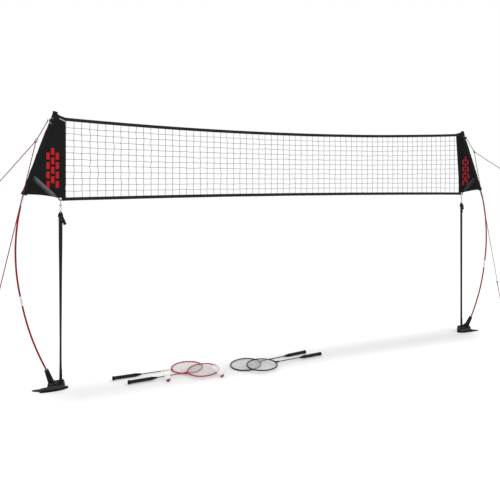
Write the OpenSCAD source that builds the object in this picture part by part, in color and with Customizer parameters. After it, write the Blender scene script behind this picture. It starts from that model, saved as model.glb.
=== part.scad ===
// Portable badminton set: a net on two bowed, sectional poles that stand in
// moulded bases, tensioning straps with cam buckles, four guy lines, four
// rackets and two shuttlecocks lying in front of the net.
// X runs along the net, Y points behind it, Z is up, millimetres.

/* [Net] */
// Half of the net's length between the two end panels
net_half = 1432; // [1380:1:1480]
// Height of the top tape's centre line at its ends
top_z = 1550; // [1535:1:1560]
// Height of the bottom tape's centre line at its ends
bottom_z = 1090; // [1085:1:1095]
// Sag of the top tape at mid span
top_sag = 41; // [5:1:60]
// Rise of the bottom tape at mid span
bottom_rise = 10; // [0:1:20]
// Height of the tape bands
tape_h = 19; // [14:1:24]
// Thickness of the tape bands
tape_t = 3.2; // [2:0.1:4]
// Thickness of the mesh sheet
mesh_t = 1.6; // [1:0.1:2]
// Distance of the net's plane behind the middle of the set
net_y = 40; // [35:0.5:45]

/* [End panels] */
// Outward distance of the left panel's upper tip from the net
left_tip_o = 67; // [60:1:72]
// Outward distance of the right panel's upper tip from the net
right_tip_o = 46; // [40:1:58]
// Height of the left panel's upper tip
left_tip_z = 1592; // [1580:1:1600]
// Height of the right panel's upper tip
right_tip_z = 1580; // [1574:1:1595]
// Outward distance of a panel's lower outer corner
low_o = 226; // [215:1:235]
// Height of a panel's lower outer corner
low_z = 1124; // [1115:1:1130]
// Thickness of the panel cloth
panel_t = 2; // [1.2:0.1:2.4]
// Outer radius of the pole sleeve along the slanted edge
sleeve_r = 8.5; // [7.5:0.1:9]
// Outward distance of the corner grommet and of the strap below it
strap_o = 27; // [26:0.5:28]
// Height of the corner grommet
grommet_z = 1092; // [1091:0.5:1093]

/* [Poles] */
// Outer radius of a pole section
pole_r = 4.75; // [4:0.05:4.8]
// Lean of the left pole as it leaves its sleeve
left_out_lean = 13; // [12:0.5:15]
// Lean of the right pole as it leaves its sleeve
right_out_lean = 19; // [17:0.5:20]
// Bend radius just below the upper ferrule
bend_a_r = 300; // [260:10:360]
// Heading at which the left pole passes into its long bow
left_heading = 11; // [10:0.5:12]
// Heading at which the right pole passes into its long bow
right_heading = 14; // [13:0.5:15]
// Radius of the left pole's long bow
left_bow_r = 1300; // [1270:10:1340]
// Radius of the right pole's long bow
right_bow_r = 1200; // [1170:10:1240]
// Height of the joint between the middle and the lower section
joint_z = 521; // [500:1:540]
// Outer radius of the metal ferrules
ferrule_r = 6.1; // [5.6:0.1:6.4]
// Length of a ferrule
ferrule_l = 56; // [50:1:60]

/* [Bases] */
// Outward distance of the socket's hinge bolt
hinge_o = 76; // [75:0.5:77]
// Height of the socket's hinge bolt
hinge_z = 43; // [42:0.5:44]
// Length of a socket from its bolt to its mouth
socket_l = 82.5; // [80:0.5:84]
// Lean of the left socket from the vertical
left_lean = 19.1; // [17:0.1:24]
// Lean of the right socket from the vertical
right_lean = 35; // [30:0.1:36]
// Depth that the pole stands in the socket
socket_d = 66; // [60:1:67]
// Half of the foot plate's depth
foot_half = 26.5; // [26:0.5:30]
// Thickness of the foot plate
foot_t = 8; // [7:0.5:9]

/* [Straps] */
// Width of the strap webbing
strap_w = 21; // [18:0.5:21]
// Thickness of the strap webbing
strap_t = 1.6; // [1.2:0.1:1.8]
// Length of the strap's loose tail
tail_l = 64; // [40:1:70]

/* [Guy lines] */
// Diameter of the guy cord
cord_d = 4; // [3:0.1:4]
// Radius of the hole in a peg ring
ring_hole_r = 8; // [7:0.5:9]
// Thickness of a peg ring
ring_t = 5; // [4:0.5:6]

/* [Rackets] */
// Half length of the head's centre line
head_a = 98; // [94:1:102]
// Half width of the head's centre line
head_b = 90.5; // [88:0.5:93]
// Radius of the hoop tube
hoop_r = 4.5; // [3.5:0.1:4.6]
// Whole length of a racket
racket_l = 560; // [550:1:570]
// Radius of the shaft
shaft_r = 3.1; // [3:0.1:3.5]

/* [Shuttlecocks] */
// Radius of the cork
cork_r = 13; // [12:0.1:13]
// Radius of the skirt's open end
skirt_r = 32; // [28:0.5:32]
// Length of the skirt
skirt_l = 60; // [55:1:62]

/* [Hidden] */
$fn = 48;

ink = [0.07, 0.07, 0.075];
red = [0.72, 0.10, 0.11];
steel = [0.72, 0.73, 0.75];

// ---- shared helpers -------------------------------------------------------
// one end of the set: s = 1 right, s = -1 left; x then counts outward from the net
module end_at(s) {
  translate([0, net_y, 0]) mirror([s < 0 ? 1 : 0, 0, 0]) translate([net_half, 0, 0]) children();
}
module both_ends() { end_at(-1) children(); end_at(1) children(); }
// straight round bar from p to q
module bar(p, q, r) {
  d = q - p;
  translate(p) rotate([0, acos(d[2] / norm(d)), atan2(d[1], d[0])]) cylinder(h = norm(d), r = r);
}
// frame with its z along the line from p to q
module along(p, q) {
  d = q - p;
  translate(p) rotate([0, acos(d[2] / norm(d)), atan2(d[1], d[0])]) children();
}
// plate drawn in the X-Z plane, t thick about y = 0
module upright(t) { rotate([90, 0, 0]) linear_extrude(height = t, center = true) children(); }
module tube(p, q, ro, ri) {
  d = q - p;
  difference() {
    bar(p, q, ro);
    if (ri > 0) bar(p - d / norm(d), q + d / norm(d), ri);
  }
}
module ring(rb, r) { rotate_extrude($fn = 64) translate([rb, 0]) circle(r = r, $fn = 24); }

// ---- net ------------------------------------------------------------------
net_steps = 24;
function net_x(i) = -net_half + 2 * net_half * i / net_steps;
function top_at(x) = top_z - top_sag * (1 - pow(x / net_half, 2));
function bottom_at(x) = bottom_z + bottom_rise * (1 - pow(x / net_half, 2));
module net_mesh() {
  color([0.25, 0.25, 0.26]) translate([0, net_y, 0]) upright(mesh_t) polygon(concat(
    [for (i = [0 : net_steps]) [net_x(i), bottom_at(net_x(i)) + tape_h / 2]],
    [for (i = [net_steps : -1 : 0]) [net_x(i), top_at(net_x(i)) - tape_h / 2]]));
}
module top_tape() {
  color(ink) translate([0, net_y, 0]) upright(tape_t) polygon(concat(
    [for (i = [0 : net_steps]) [net_x(i), top_at(net_x(i)) - tape_h / 2]],
    [for (i = [net_steps : -1 : 0]) [net_x(i), top_at(net_x(i)) + tape_h / 2]]));
}
module bottom_tape() {
  color(ink) translate([0, net_y, 0]) upright(tape_t) polygon(concat(
    [for (i = [0 : net_steps]) [net_x(i), bottom_at(net_x(i)) - tape_h / 2]],
    [for (i = [net_steps : -1 : 0]) [net_x(i), bottom_at(net_x(i)) + tape_h / 2]]));
}

// ---- end panels -----------------------------------------------------------
function tip_o(s) = s < 0 ? left_tip_o : right_tip_o;
function tip_z(s) = s < 0 ? left_tip_z : right_tip_z;
function lean(s) = atan2(low_o - tip_o(s), tip_z(s) - low_z);
function out_n(s) = [cos(lean(s)), sin(lean(s))];
function down_d(s) = [sin(lean(s)), -cos(lean(s))];
function axis_top(s) = [tip_o(s), tip_z(s)] - sleeve_r * out_n(s);
function axis_low(s) = [low_o, low_z] - sleeve_r * out_n(s);
function v3(p, y = 0) = [p[0], y, p[1]];
corner_z = grommet_z - 13;
function hem(o) = corner_z + (low_z - corner_z) * sqrt(sin(90 * max(0, o - 20) / (low_o - 20)));
hem_steps = 12;
module end_panel(s) {
  difference() {
    union() {
      upright(panel_t) polygon(concat(
        [[0, top_z + tape_h / 2], [0.45 * tip_o(s), top_z + tape_h / 2 + 11], axis_top(s), axis_low(s)],
        [for (i = [1 : hem_steps]) let (o = axis_low(s)[0] + (20 - axis_low(s)[0]) * i / hem_steps) [o, hem(o)]],
        [[8, corner_z + 1], [0, bottom_z - tape_h / 2]]));
      bar(v3(axis_top(s)), v3(axis_low(s)), sleeve_r);
    }
    // way for the pole, closed at the top by the sewn tip
    bar(v3(axis_top(s) + 5 * down_d(s)), v3(axis_low(s) + 4 * down_d(s)), 5.25);
    translate([strap_o, 0, grommet_z]) rotate([90, 0, 0]) cylinder(h = 20, r = 8.1, center = true);
  }
}
module left_end_panel() { color(ink) end_at(-1) end_panel(-1); }
module right_end_panel() { color(ink) end_at(1) end_panel(1); }
module corner_grommets() {
  h = panel_t / 2;
  color(steel) both_ends() translate([strap_o, 0, grommet_z]) rotate([90, 0, 0])
    rotate_extrude() polygon([[6, -h - 1], [12, -h - 1], [12, -h - 0.05], [8, -h - 0.05],
      [8, h + 0.05], [12, h + 0.05], [12, h + 1], [6, h + 1]]);
}
// webbing eye that wraps the sleeve near its top and carries the guy bridle
function tab_at(s) = axis_top(s) + 52 * down_d(s);
function tab_eye(s) = tab_at(s) + (sleeve_r + 1.5 + 5.5) * out_n(s);
module guy_tabs() {
  color(ink) for (s = [-1, 1]) end_at(s) {
    difference() {
      tube(v3(tab_at(s) - 7 * down_d(s)), v3(tab_at(s) + 7 * down_d(s)), sleeve_r + 1.6, sleeve_r + 0.1);
      // slit where the panel cloth leaves the sleeve
      translate(v3(tab_at(s))) rotate([0, -lean(s), 0]) translate([-30, -panel_t / 2 - 0.15, -20])
        cube([30, panel_t + 0.3, 40]);
    }
    translate(v3(tab_eye(s))) rotate([90, 0, 0]) difference() {
      cylinder(h = 3, r = 6, center = true);
      cylinder(h = 5, r = 3.4, center = true);
    }
  }
}

// ---- poles ----------------------------------------------------------------
// straight down the sleeve, a short bend at its mouth, straight through the upper
// ferrule, a slight bend, a long bow, straight through the lower ferrule, then one
// bend that lands in the socket; each end has its own bow
stub = ferrule_l / 2;
kink_r = 100;
function kink_c(s) = axis_low(s) - kink_r * out_n(s);
function out_lean(s) = s < 0 ? left_out_lean : right_out_lean;
function heading_ab(s) = s < 0 ? left_heading : right_heading;
function bow_r(s) = s < 0 ? left_bow_r : right_bow_r;
// outward normal and downward direction of a pole that heads h
function side_of(h) = [cos(h), sin(h)];
function way(h) = [sin(h), -cos(h)];
function p_f(s) = kink_c(s) + kink_r * side_of(out_lean(s)) + way(out_lean(s));
function p_a(s) = p_f(s) + stub * way(out_lean(s));
function p_a1(s) = p_a(s) + stub * way(out_lean(s));
function c_a(s) = p_a1(s) - bend_a_r * side_of(out_lean(s));
function c_b(s) = c_a(s) + (bend_a_r - bow_r(s)) * side_of(heading_ab(s));
function h_j(s) = -asin((c_b(s)[1] - joint_z - stub) / bow_r(s));
function p_j(s) = c_b(s) + bow_r(s) * side_of(h_j(s)) + stub * way(h_j(s));
function p_c(s) = p_j(s) + stub * way(h_j(s));
// mouth of a socket, and the short bend that takes the pole into it
function socket_lean(s) = s < 0 ? left_lean : right_lean;
function mouth(s) = [hinge_o, hinge_z] + socket_l * [sin(socket_lean(s)), cos(socket_lean(s))];
turn_r = 90;
function chord_h(s, q) = atan2(p_c(s)[0] - q[0], p_c(s)[1] - q[1]);
function end_head(s, q) = -(2 * chord_h(s, q) + h_j(s));
function turn_sign(s, h) = h > -socket_lean(s) ? 1 : -1;
function turn_at(s, h, ref) = mouth(s) + turn_sign(s, ref) * turn_r
  * (side_of(h) - side_of(-socket_lean(s)));
function turn_from(s) = let (h0 = end_head(s, mouth(s)), h1 = end_head(s, turn_at(s, h0, h0))) turn_at(s, h1, h1);
function pole_top(s) = axis_top(s) + 12 * down_d(s);
// stations [out, height, heading] along a bend
function bend_pts(c, rb, h1, h2, n, i0 = 0) =
  [for (i = [i0 : n]) let (h = h1 + (h2 - h1) * i / n) [c[0] + rb * cos(h), c[1] + rb * sin(h), h]];
function station(p, h) = [p[0], p[1], h];
function upper_path(s) = concat([station(pole_top(s), lean(s))], bend_pts(kink_c(s), kink_r, lean(s), out_lean(s), 4),
  [station(p_a(s) - 0.1 * way(out_lean(s)), out_lean(s))]);
function middle_path(s) = concat([station(p_a(s), out_lean(s))],
  bend_pts(c_a(s), bend_a_r, out_lean(s), heading_ab(s), 4),
  bend_pts(c_b(s), bow_r(s), heading_ab(s), h_j(s), 20, 1), [station(p_j(s), h_j(s))]);
function lower_path(s) = let (q = turn_from(s), h = end_head(s, q), hs = -socket_lean(s),
    rb = norm(p_c(s) - q) / (2 * sin(chord_h(s, q) + h_j(s))), c = p_c(s) - rb * side_of(h_j(s)))
  concat([station(p_j(s), h_j(s))], bend_pts(c, rb, h_j(s), h, 18),
    [for (i = [1 : 4]) let (k = h + (hs - h) * i / 4) station(turn_at(s, k, h), k)],
    [station(mouth(s) + (socket_d - 1) * way(hs), hs)]);
rod_sides = 12;
// solid round rod through the stations
module rod(path, r) {
  n = len(path);
  polyhedron(
    points = [for (p = path) for (k = [0 : rod_sides - 1]) let (w = 360 * k / rod_sides)
      [p[0] + r * cos(w) * cos(p[2]), r * sin(w), p[1] + r * cos(w) * sin(p[2])]],
    faces = concat(
      [[for (k = [rod_sides - 1 : -1 : 0]) k]],
      [for (i = [0 : n - 2]) for (k = [0 : rod_sides - 1]) let (m = (k + 1) % rod_sides)
        [i * rod_sides + k, i * rod_sides + m, (i + 1) * rod_sides + m, (i + 1) * rod_sides + k]],
      [[for (k = [0 : rod_sides - 1]) (n - 1) * rod_sides + k]]));
}
module left_pole_upper() { color(steel) end_at(-1) rod(upper_path(-1), pole_r); }
module right_pole_upper() { color(steel) end_at(1) rod(upper_path(1), pole_r); }
module left_pole_middle() { color(red) end_at(-1) rod(middle_path(-1), pole_r); }
module right_pole_middle() { color(red) end_at(1) rod(middle_path(1), pole_r); }
module left_pole_lower() { color(red) end_at(-1) rod(lower_path(-1), pole_r); }
module right_pole_lower() { color(red) end_at(1) rod(lower_path(1), pole_r); }
module pole_ferrules() {
  color(steel) for (s = [-1, 1]) end_at(s) {
    tube(v3(p_f(s)), v3(p_a1(s) - 0.2 * way(out_lean(s))), ferrule_r, pole_r + 0.1);
    tube(v3(p_j(s) - (stub - 0.2) * way(h_j(s))), v3(p_c(s) - 0.2 * way(h_j(s))), ferrule_r, pole_r + 0.1);
  }
}
module pole_tip_caps() {
  color(ink) for (s = [-1, 1]) end_at(s)
    bar(v3(axis_top(s) + 6.5 * down_d(s)), v3(pole_top(s) - 0.2 * down_d(s)), 4.9);
}

// ---- bases ----------------------------------------------------------------
// two screws from above on the outer end, two from below into the housing's bosses
screw_at = [[113, -11], [113, 11]];
boss_at = [[47, -13.4], [47, 13.4]];
pin_z = 35.5;
// the two bases are the same moulding, turned half round
module base_at(s) { end_at(s) mirror([0, s > 0 ? 1 : 0, 0]) children(); }
module base_foot() {
  difference() {
    union() {
      linear_extrude(height = foot_t) polygon([[-14, -3], [-9, -8], [8, -16.5], [30, -foot_half + 3],
        [58, -foot_half], [104, -foot_half], [130, -foot_half + 4], [136, -foot_half + 9], [136, foot_half - 9],
        [130, foot_half - 4], [104, foot_half], [58, foot_half], [30, foot_half - 3], [8, 16.5], [-9, 8], [-14, 3]]);
      // thin tongue
      linear_extrude(height = 5) polygon([[120, -8], [136, -7], [176, 14], [179, 18], [176, 22], [134, 24], [120, 20]]);
    }
    for (p = screw_at) translate([p[0], p[1], 2]) cylinder(h = 20, r = 2.05);
    for (p = boss_at) translate([p[0], p[1], -1]) {
      cylinder(h = 20, r = 2.05);
      cylinder(h = 3.6, r = 4.2);
    }
  }
}
module left_base_foot() { color(ink) base_at(-1) base_foot(); }
module right_base_foot() { color(ink) base_at(1) base_foot(); }
module strap_ears() {
  for (x = [strap_o - strap_w / 2 - 5.5, strap_o + strap_w / 2 + 0.5])
    translate([x, 0, 0]) rotate([90, 0, 90]) linear_extrude(height = 5)
      polygon([[-11, 28], [11, 28], [7.5, 48], [-7.5, 48]]);
}
module base_housing() {
  difference() {
    union() {
      upright(46) polygon([[3, foot_t], [99, foot_t], [95, 38], [90, 46], [83, 51], [69, 51], [61, 44], [14, 44], [8, 37]]);
      // flange that the outer screws hold down
      translate([0, 0, foot_t]) linear_extrude(height = 3)
        polygon([[90, -20], [122, -18], [126, -14], [126, 14], [122, 18], [90, 20]]);
      // moulded ribs on both long faces
      for (z = [13, 20, 27]) translate([10, -24.3, z]) cube([81, 48.6, 2.4]);
      strap_ears();
    }
    // hollow of the moulding, open below
    difference() {
      upright(39) polygon([[6.5, 0], [54, 0], [54, 40.5], [15.5, 40.5], [11, 35]]);
      strap_ears();
      for (p = boss_at) translate([p[0], p[1], -1]) cylinder(h = 60, r = 4.6);
    }
    // slot for the strap, and the fork that the socket swings in
    translate([strap_o - strap_w / 2 - 0.3, -9, 24]) cube([strap_w + 0.6, 18, 40]);
    translate([58, -15.6, 22]) cube([60, 31.2, 60]);
    translate([strap_o - 40, 0, pin_z]) rotate([0, 90, 0]) cylinder(h = 67, r = 3.05);
    // pocket for the anchor pin's inner head
    translate([8.9, 0, pin_z]) rotate([0, 90, 0]) cylinder(h = 2.1, r = 4.4);
    translate([hinge_o, 0, hinge_z]) rotate([90, 0, 0]) cylinder(h = 80, r = 3.05, center = true);
    for (p = screw_at) translate([p[0], p[1], 0]) cylinder(h = 30, r = 2.05);
    for (p = boss_at) translate([p[0], p[1], 0]) cylinder(h = 22, r = 2.05);
    translate([-60, -60, -60]) cube([300, 120, 60 + foot_t]);
  }
}
module left_base_housing() { color(ink) base_at(-1) base_housing(); }
module right_base_housing() { color(ink) base_at(1) base_housing(); }
// socket that hinges on its bolt in the fork
module pole_socket(a) {
  translate([hinge_o, 0, hinge_z]) rotate([0, a, 0]) difference() {
    union() {
      intersection() {
        cylinder(h = socket_l, r1 = 16.6, r2 = 11.2);
        translate([-30, -15.2, -1]) cube([60, 30.4, socket_l + 2]);
      }
      rotate([90, 0, 0]) cylinder(h = 30.4, r = 14.2, center = true);
    }
    translate([0, 0, socket_l - socket_d]) cylinder(h = socket_d + 10, r = pole_r + 0.15);
    rotate([90, 0, 0]) cylinder(h = 60, r = 3.05, center = true);
  }
}
module pole_sockets() {
  color(ink) end_at(-1) pole_socket(left_lean);
  color(ink) end_at(1) pole_socket(right_lean);
}
module base_screws() {
  color(steel) {
    for (s = [-1, 1]) base_at(s) for (p = screw_at) translate([p[0], p[1], 0]) {
      translate([0, 0, 3]) cylinder(h = foot_t + 0.5, r = 1.95);
      translate([0, 0, foot_t + 3.1]) cylinder(h = 2, r1 = 3.9, r2 = 3);
    }
    for (s = [-1, 1]) base_at(s) for (p = boss_at) translate([p[0], p[1], 0]) {
      translate([0, 0, 0.4]) cylinder(h = 20, r = 1.95);
      translate([0, 0, 0.4]) cylinder(h = 2, r1 = 3.2, r2 = 3.9);
    }
    // hinge bolts, head to the front
    both_ends() translate([hinge_o, 0, hinge_z]) rotate([90, 0, 0]) {
      cylinder(h = 46.4, r = 2.95, center = true);
      translate([0, 0, 23.1]) cylinder(h = 3, r1 = 5.4, r2 = 4.4);
      translate([0, 0, -27.1]) cylinder(h = 4, r = 5.2);
    }
  }
}
module strap_anchor_pins() {
  w = strap_w / 2 + 5.6;
  color(steel) both_ends() translate([strap_o, 0, pin_z]) rotate([0, 90, 0]) {
    cylinder(h = 2 * w, r = 2.95, center = true);
    translate([0, 0, -w - 1.6]) cylinder(h = 1.6, r = 4);
    translate([0, 0, w]) cylinder(h = 1.6, r = 4);
  }
}

// ---- straps and cam buckles -----------------------------------------------
cam_z = grommet_z - 100;
cam_y = -5.6;
strap_y = 0.5;
fold_z = cam_z + 9.5;
// the loose tail hangs askew by angle a, to the same hand at both ends
module tension_strap(a) {
  translate([strap_o, 0, 0]) {
    // sewn loop round the anchor pin
    translate([0, 0, pin_z]) rotate([0, 90, 0]) difference() {
      cylinder(h = strap_w, r = 3.2 + strap_t, center = true);
      cylinder(h = strap_w + 2, r = 3.2, center = true);
    }
    translate([-strap_w / 2, strap_y, pin_z + 3.6]) cube([strap_w, strap_t, fold_z - pin_z - 3.6]);
    translate([-strap_w / 2, strap_y, fold_z - strap_t]) cube([strap_w, 9, strap_t]);
    // loose tail behind the buckle
    translate([0, strap_y + 9 - strap_t, fold_z]) rotate([0, a, 0])
      translate([-strap_w / 2 + 2, 0, -tail_l]) cube([strap_w - 4, strap_t, tail_l - 2]);
  }
}
module left_tension_strap() { color(ink) end_at(-1) tension_strap(22); }
module right_tension_strap() { color(ink) end_at(1) tension_strap(-17); }
// frame with a tapered yoke above: x across, z up from the cam's pin
module buckle_frame() {
  translate([strap_o, 0, 0]) difference() {
    union() {
      for (x = [-13.5, 11]) translate([x, 0, 0]) rotate([90, 0, 90]) linear_extrude(height = 2.5)
        polygon([[-9.5, cam_z - 4], [5.5, cam_z - 6], [5.5, cam_z + 7], [2.5, cam_z + 11], [-2.5, cam_z + 11], [-9.5, cam_z + 5]]);
      translate([-12, 2.9, cam_z - 6]) cube([24, 2.6, 12.5]);
      translate([0, 0, cam_z]) upright(5) polygon([[-13.5, 6], [-10.9, 6], [-10.9, 10.5], [-8.5, 13], [8.5, 13],
        [10.9, 10.5], [10.9, 6], [13.5, 6], [13.5, 10], [5.5, 27], [-5.5, 27], [-13.5, 10]]);
    }
    translate([0, cam_y, cam_z]) rotate([0, 90, 0]) cylinder(h = 60, r = 1.55, center = true);
    // eye for the cord loop
    translate([0, 0, cam_z + 20.4]) rotate([90, 0, 0]) cylinder(h = 20, r = 2.5, center = true);
  }
}
module buckle_frames() { color(ink) both_ends() buckle_frame(); }
module buckle_lever() {
  translate([strap_o, cam_y, cam_z]) difference() {
    union() {
      rotate([0, 90, 0]) cylinder(h = 20, r = 5.2, center = true);
      rotate([0, 90, 0]) rotate([0, 0, 90]) linear_extrude(height = 20, center = true)
        polygon([[-5.2, 1], [-1, -4.5], [-5.5, -17], [-9, -27], [-11, -26.5], [-7.8, -16]]);
    }
    rotate([0, 90, 0]) cylinder(h = 60, r = 1.56, center = true);
  }
}
module left_buckle_lever() { color([0.16, 0.16, 0.17]) end_at(-1) buckle_lever(); }
module right_buckle_lever() { color([0.16, 0.16, 0.17]) end_at(1) buckle_lever(); }
module buckle_pins() {
  color(steel) both_ends() translate([strap_o, cam_y, cam_z]) rotate([0, 90, 0]) cylinder(h = 31, r = 1.5, center = true);
}
// open wire hook through the grommet, with an eye below
eye_z = grommet_z - 36;
module strap_hooks() {
  color(steel) both_ends() translate([strap_o, 0, 0]) {
    translate([0, 0, grommet_z - 10]) rotate([90, 0, 90]) rotate([0, 0, -90])
      rotate_extrude(angle = 300, $fn = 64) translate([10, 0]) circle(r = 1.9, $fn = 24);
    bar([0, 0, grommet_z - 20], [0, 0, eye_z + 5], 1.9);
    translate([0, 0, eye_z]) rotate([90, 0, 0]) ring(5.2, 1.9);
  }
}
// cord loop from the hook's eye to the buckle's top bar
loop_top = eye_z - 6;
loop_low = cam_z + 25;
module hook_loops() {
  color(red) both_ends() translate([strap_o, 0, 0]) {
    translate([0, 0, loop_top]) rotate([90, 0, 90]) rotate_extrude(angle = 180, $fn = 64) translate([5, 0]) circle(r = 1.3, $fn = 24);
    translate([0, 0, loop_low]) rotate([90, 0, 90]) rotate([0, 0, 180]) rotate_extrude(angle = 180, $fn = 64) translate([5, 0]) circle(r = 1.3, $fn = 24);
    for (y = [-5, 5]) bar([0, y, loop_low], [0, y, loop_top], 1.3);
  }
}

// ---- guy lines ------------------------------------------------------------
knot = [155, 1423];
// ends of the four lines: two on the ground, two that run on towards far pegs
end_left_front = [-1830, -525, ring_t / 2];
end_right_back = [2600, 700, ring_t / 2];
end_left_back = [-1856, 274, 1134];
end_right_front = [1765, -116, 1245];
knot_l = [-net_half - knot[0], net_y, knot[1]];
knot_r = [net_half + knot[0], net_y, knot[1]];
eye_l = [-net_half - tab_eye(-1)[0], net_y, tab_eye(-1)[1]];
eye_r = [net_half + tab_eye(1)[0], net_y, tab_eye(1)[1]];
function unit(v) = v / norm(v);
// point d past p on the way to q, and d short of q
function past(p, q, d) = p + d * unit(q - p);
module guy(p, q, gap) { bar(past(p, q, 9), past(q, p, gap), cord_d / 2); }
module left_guy_bridle() { color(red) bar(past(eye_l, knot_l, 6.3), past(knot_l, eye_l, 9), cord_d / 2); }
module right_guy_bridle() { color(red) bar(past(eye_r, knot_r, 6.3), past(knot_r, eye_r, 9), cord_d / 2); }
module left_back_guy() { color(red) guy(knot_l, end_left_back, ring_hole_r + 5.5); }
module left_front_guy() { color(red) guy(knot_l, end_left_front, 8); }
module right_front_guy() { color(red) guy(knot_r, end_right_front, ring_hole_r + 5.5); }
module right_back_guy() { color(red) guy(knot_r, end_right_back, 8); }
module guy_junction_rings() {
  color(ink) for (p = [knot_l, knot_r]) translate(p) rotate([90, 0, 0]) ring(6, 1.6);
}
module peg_ring() {
  rotate_extrude($fn = 64) translate([ring_hole_r, -ring_t / 2]) square([5, ring_t]);
}
module guy_end_rings() {
  // a ring on the ground lies flat, with the line tied to its near rim
  color(steel) {
    translate([0, 0, 0]) translate(end_left_front + ring_off(end_left_front, knot_l)) peg_ring();
    translate(end_right_back + ring_off(end_right_back, knot_r)) peg_ring();
    along(end_left_back, knot_l) rotate([90, 0, 0]) peg_ring();
    along(end_right_front, knot_r) rotate([90, 0, 0]) peg_ring();
  }
}
// horizontal step that takes a ground ring out from under its line
function ring_off(e, k) = -(ring_hole_r + 2.5) * unit([k[0] - e[0], k[1] - e[1], 0]);
slider_up = 260;
module guy_slider(e, k) {
  along(past(e, k, slider_up), k) difference() {
    linear_extrude(height = 5, center = true) hull_free_bar(14, 4.8);
    cylinder(h = 20, r = cord_d / 2 + 0.35, center = true);
    translate([14, 0, 0]) cylinder(h = 20, r = cord_d / 2 + 0.35, center = true);
  }
}
// flat bar with round ends, from x = 0 to x = l
module hull_free_bar(l, r) {
  circle(r = r);
  translate([l, 0]) circle(r = r);
  translate([0, -r]) square([l, 2 * r]);
}
module left_guy_slider() { color(ink) guy_slider(end_left_front, knot_l); }
module right_guy_slider() { color(ink) guy_slider(end_right_back, knot_r); }

// ---- rackets --------------------------------------------------------------
// x runs from the butt to the tip, y across the head
head_x = racket_l - hoop_r - head_a;
throat_x = head_x - head_a;
hoop_rings = 40;
hoop_sides = 8;
// closed tube along the head's oval
module hoop() {
  polyhedron(
    points = [for (i = [0 : hoop_rings - 1]) let (w = 360 * i / hoop_rings,
        n = [head_b * cos(w), head_a * sin(w)] / norm([head_b * cos(w), head_a * sin(w)]))
      for (k = [0 : hoop_sides - 1]) let (u = 360 * (k + 0.5) / hoop_sides)
        [head_x + head_a * cos(w) + hoop_r * cos(u) * n[0], head_b * sin(w) + hoop_r * cos(u) * n[1], hoop_r * sin(u)]],
    faces = [for (i = [0 : hoop_rings - 1]) for (k = [0 : hoop_sides - 1])
      let (j = (i + 1) % hoop_rings, m = (k + 1) % hoop_sides)
        [i * hoop_sides + k, i * hoop_sides + m, j * hoop_sides + m, j * hoop_sides + k]]);
}
module racket_frame() {
  difference() {
    union() {
      hoop();
      // throat sleeve
      translate([throat_x - 25, 0, 0]) rotate([0, 90, 0]) cylinder(h = 24, r = 5.5);
    }
    translate([throat_x - 26, 0, 0]) rotate([0, 90, 0]) cylinder(h = 17, r = shaft_r + 0.05);
  }
}
module racket_strings() {
  k = hoop_r + 0.4;
  translate([head_x, 0, 0]) linear_extrude(height = 1.2, center = true)
    polygon([for (i = [0 : 47]) let (w = i * 7.5) [(head_a - k) * cos(w), (head_b - k) * sin(w)]]);
}
grip_l = 136;
cone_l = 38;
module racket_shaft() {
  translate([grip_l - 26, 0, 0]) rotate([0, 90, 0]) cylinder(h = throat_x - 10 - grip_l + 26, r = shaft_r);
}
module racket_grip() {
  rotate([0, 90, 0]) difference() {
    union() {
      cylinder(h = 9, r1 = 10.8, r2 = 11.6);
      translate([0, 0, 9]) cylinder(h = 7, r1 = 11.6, r2 = 10.2);
      translate([0, 0, 8]) rotate([0, 0, 22.5]) cylinder(h = grip_l - 8, r = 10.6, $fn = 8);
      translate([0, 0, grip_l]) cylinder(h = cone_l, r1 = 9.7, r2 = 4.6);
    }
    translate([0, 0, grip_l - 28]) cylinder(h = cone_l + 40, r = shaft_r + 0.05);
  }
}
// butt position (net plane at y = 0), heading, and heights of the axis at the butt and the head
function lay(b, yaw, z0, z1) = [b, yaw, z0, asin((z0 - z1) / head_x)];
red_rear = lay([-1174.8, 11.5], 3.2, 12.8, 7.0);
red_front = lay([-1091.3, -72], 1.5, 12.2, 17.7);
black_rear = lay([103.7, 7.2], 186.3, 12.8, 7.0);
black_front = lay([189.1, -55.3], 187.5, 12.2, 21.6);
module laid(r) {
  translate([r[0][0], r[0][1] + net_y, r[2]]) rotate([0, 0, r[1]]) rotate([0, r[3], 0]) children();
}
string_c = [0.82, 0.82, 0.82];
module red_rear_frame() { color(red) laid(red_rear) racket_frame(); }
module red_rear_strings() { color(string_c) laid(red_rear) racket_strings(); }
module red_rear_shaft() { color(red) laid(red_rear) racket_shaft(); }
module red_rear_grip() { color(ink) laid(red_rear) racket_grip(); }
module red_front_frame() { color(red) laid(red_front) racket_frame(); }
module red_front_strings() { color(string_c) laid(red_front) racket_strings(); }
module red_front_shaft() { color(red) laid(red_front) racket_shaft(); }
module red_front_grip() { color(ink) laid(red_front) racket_grip(); }
module black_rear_frame() { color(ink) laid(black_rear) racket_frame(); }
module black_rear_strings() { color(string_c) laid(black_rear) racket_strings(); }
module black_rear_shaft() { color(ink) laid(black_rear) racket_shaft(); }
module black_rear_grip() { color(ink) laid(black_rear) racket_grip(); }
module black_front_frame() { color(ink) laid(black_front) racket_frame(); }
module black_front_strings() { color(string_c) laid(black_front) racket_strings(); }
module black_front_shaft() { color(ink) laid(black_front) racket_shaft(); }
module black_front_grip() { color(ink) laid(black_front) racket_grip(); }

// ---- shuttlecocks ---------------------------------------------------------
// z runs from the middle of the cork's dome to the open end of the skirt
module shuttle_cork() {
  difference() {
    union() { sphere(r = cork_r); cylinder(h = 11, r = cork_r); }
    translate([0, 0, 6]) cylinder(h = 20, r = 9);
  }
}
module shuttle_skirt() {
  rotate_extrude() polygon([[6, 6.3], [8.8, 6.3], [8.8, 11.1], [12.5, 11.1], [skirt_r, 11 + skirt_l],
    [skirt_r - 1.2, 11 + skirt_l], [11, 12.3], [6, 12.3]]);
}
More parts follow.
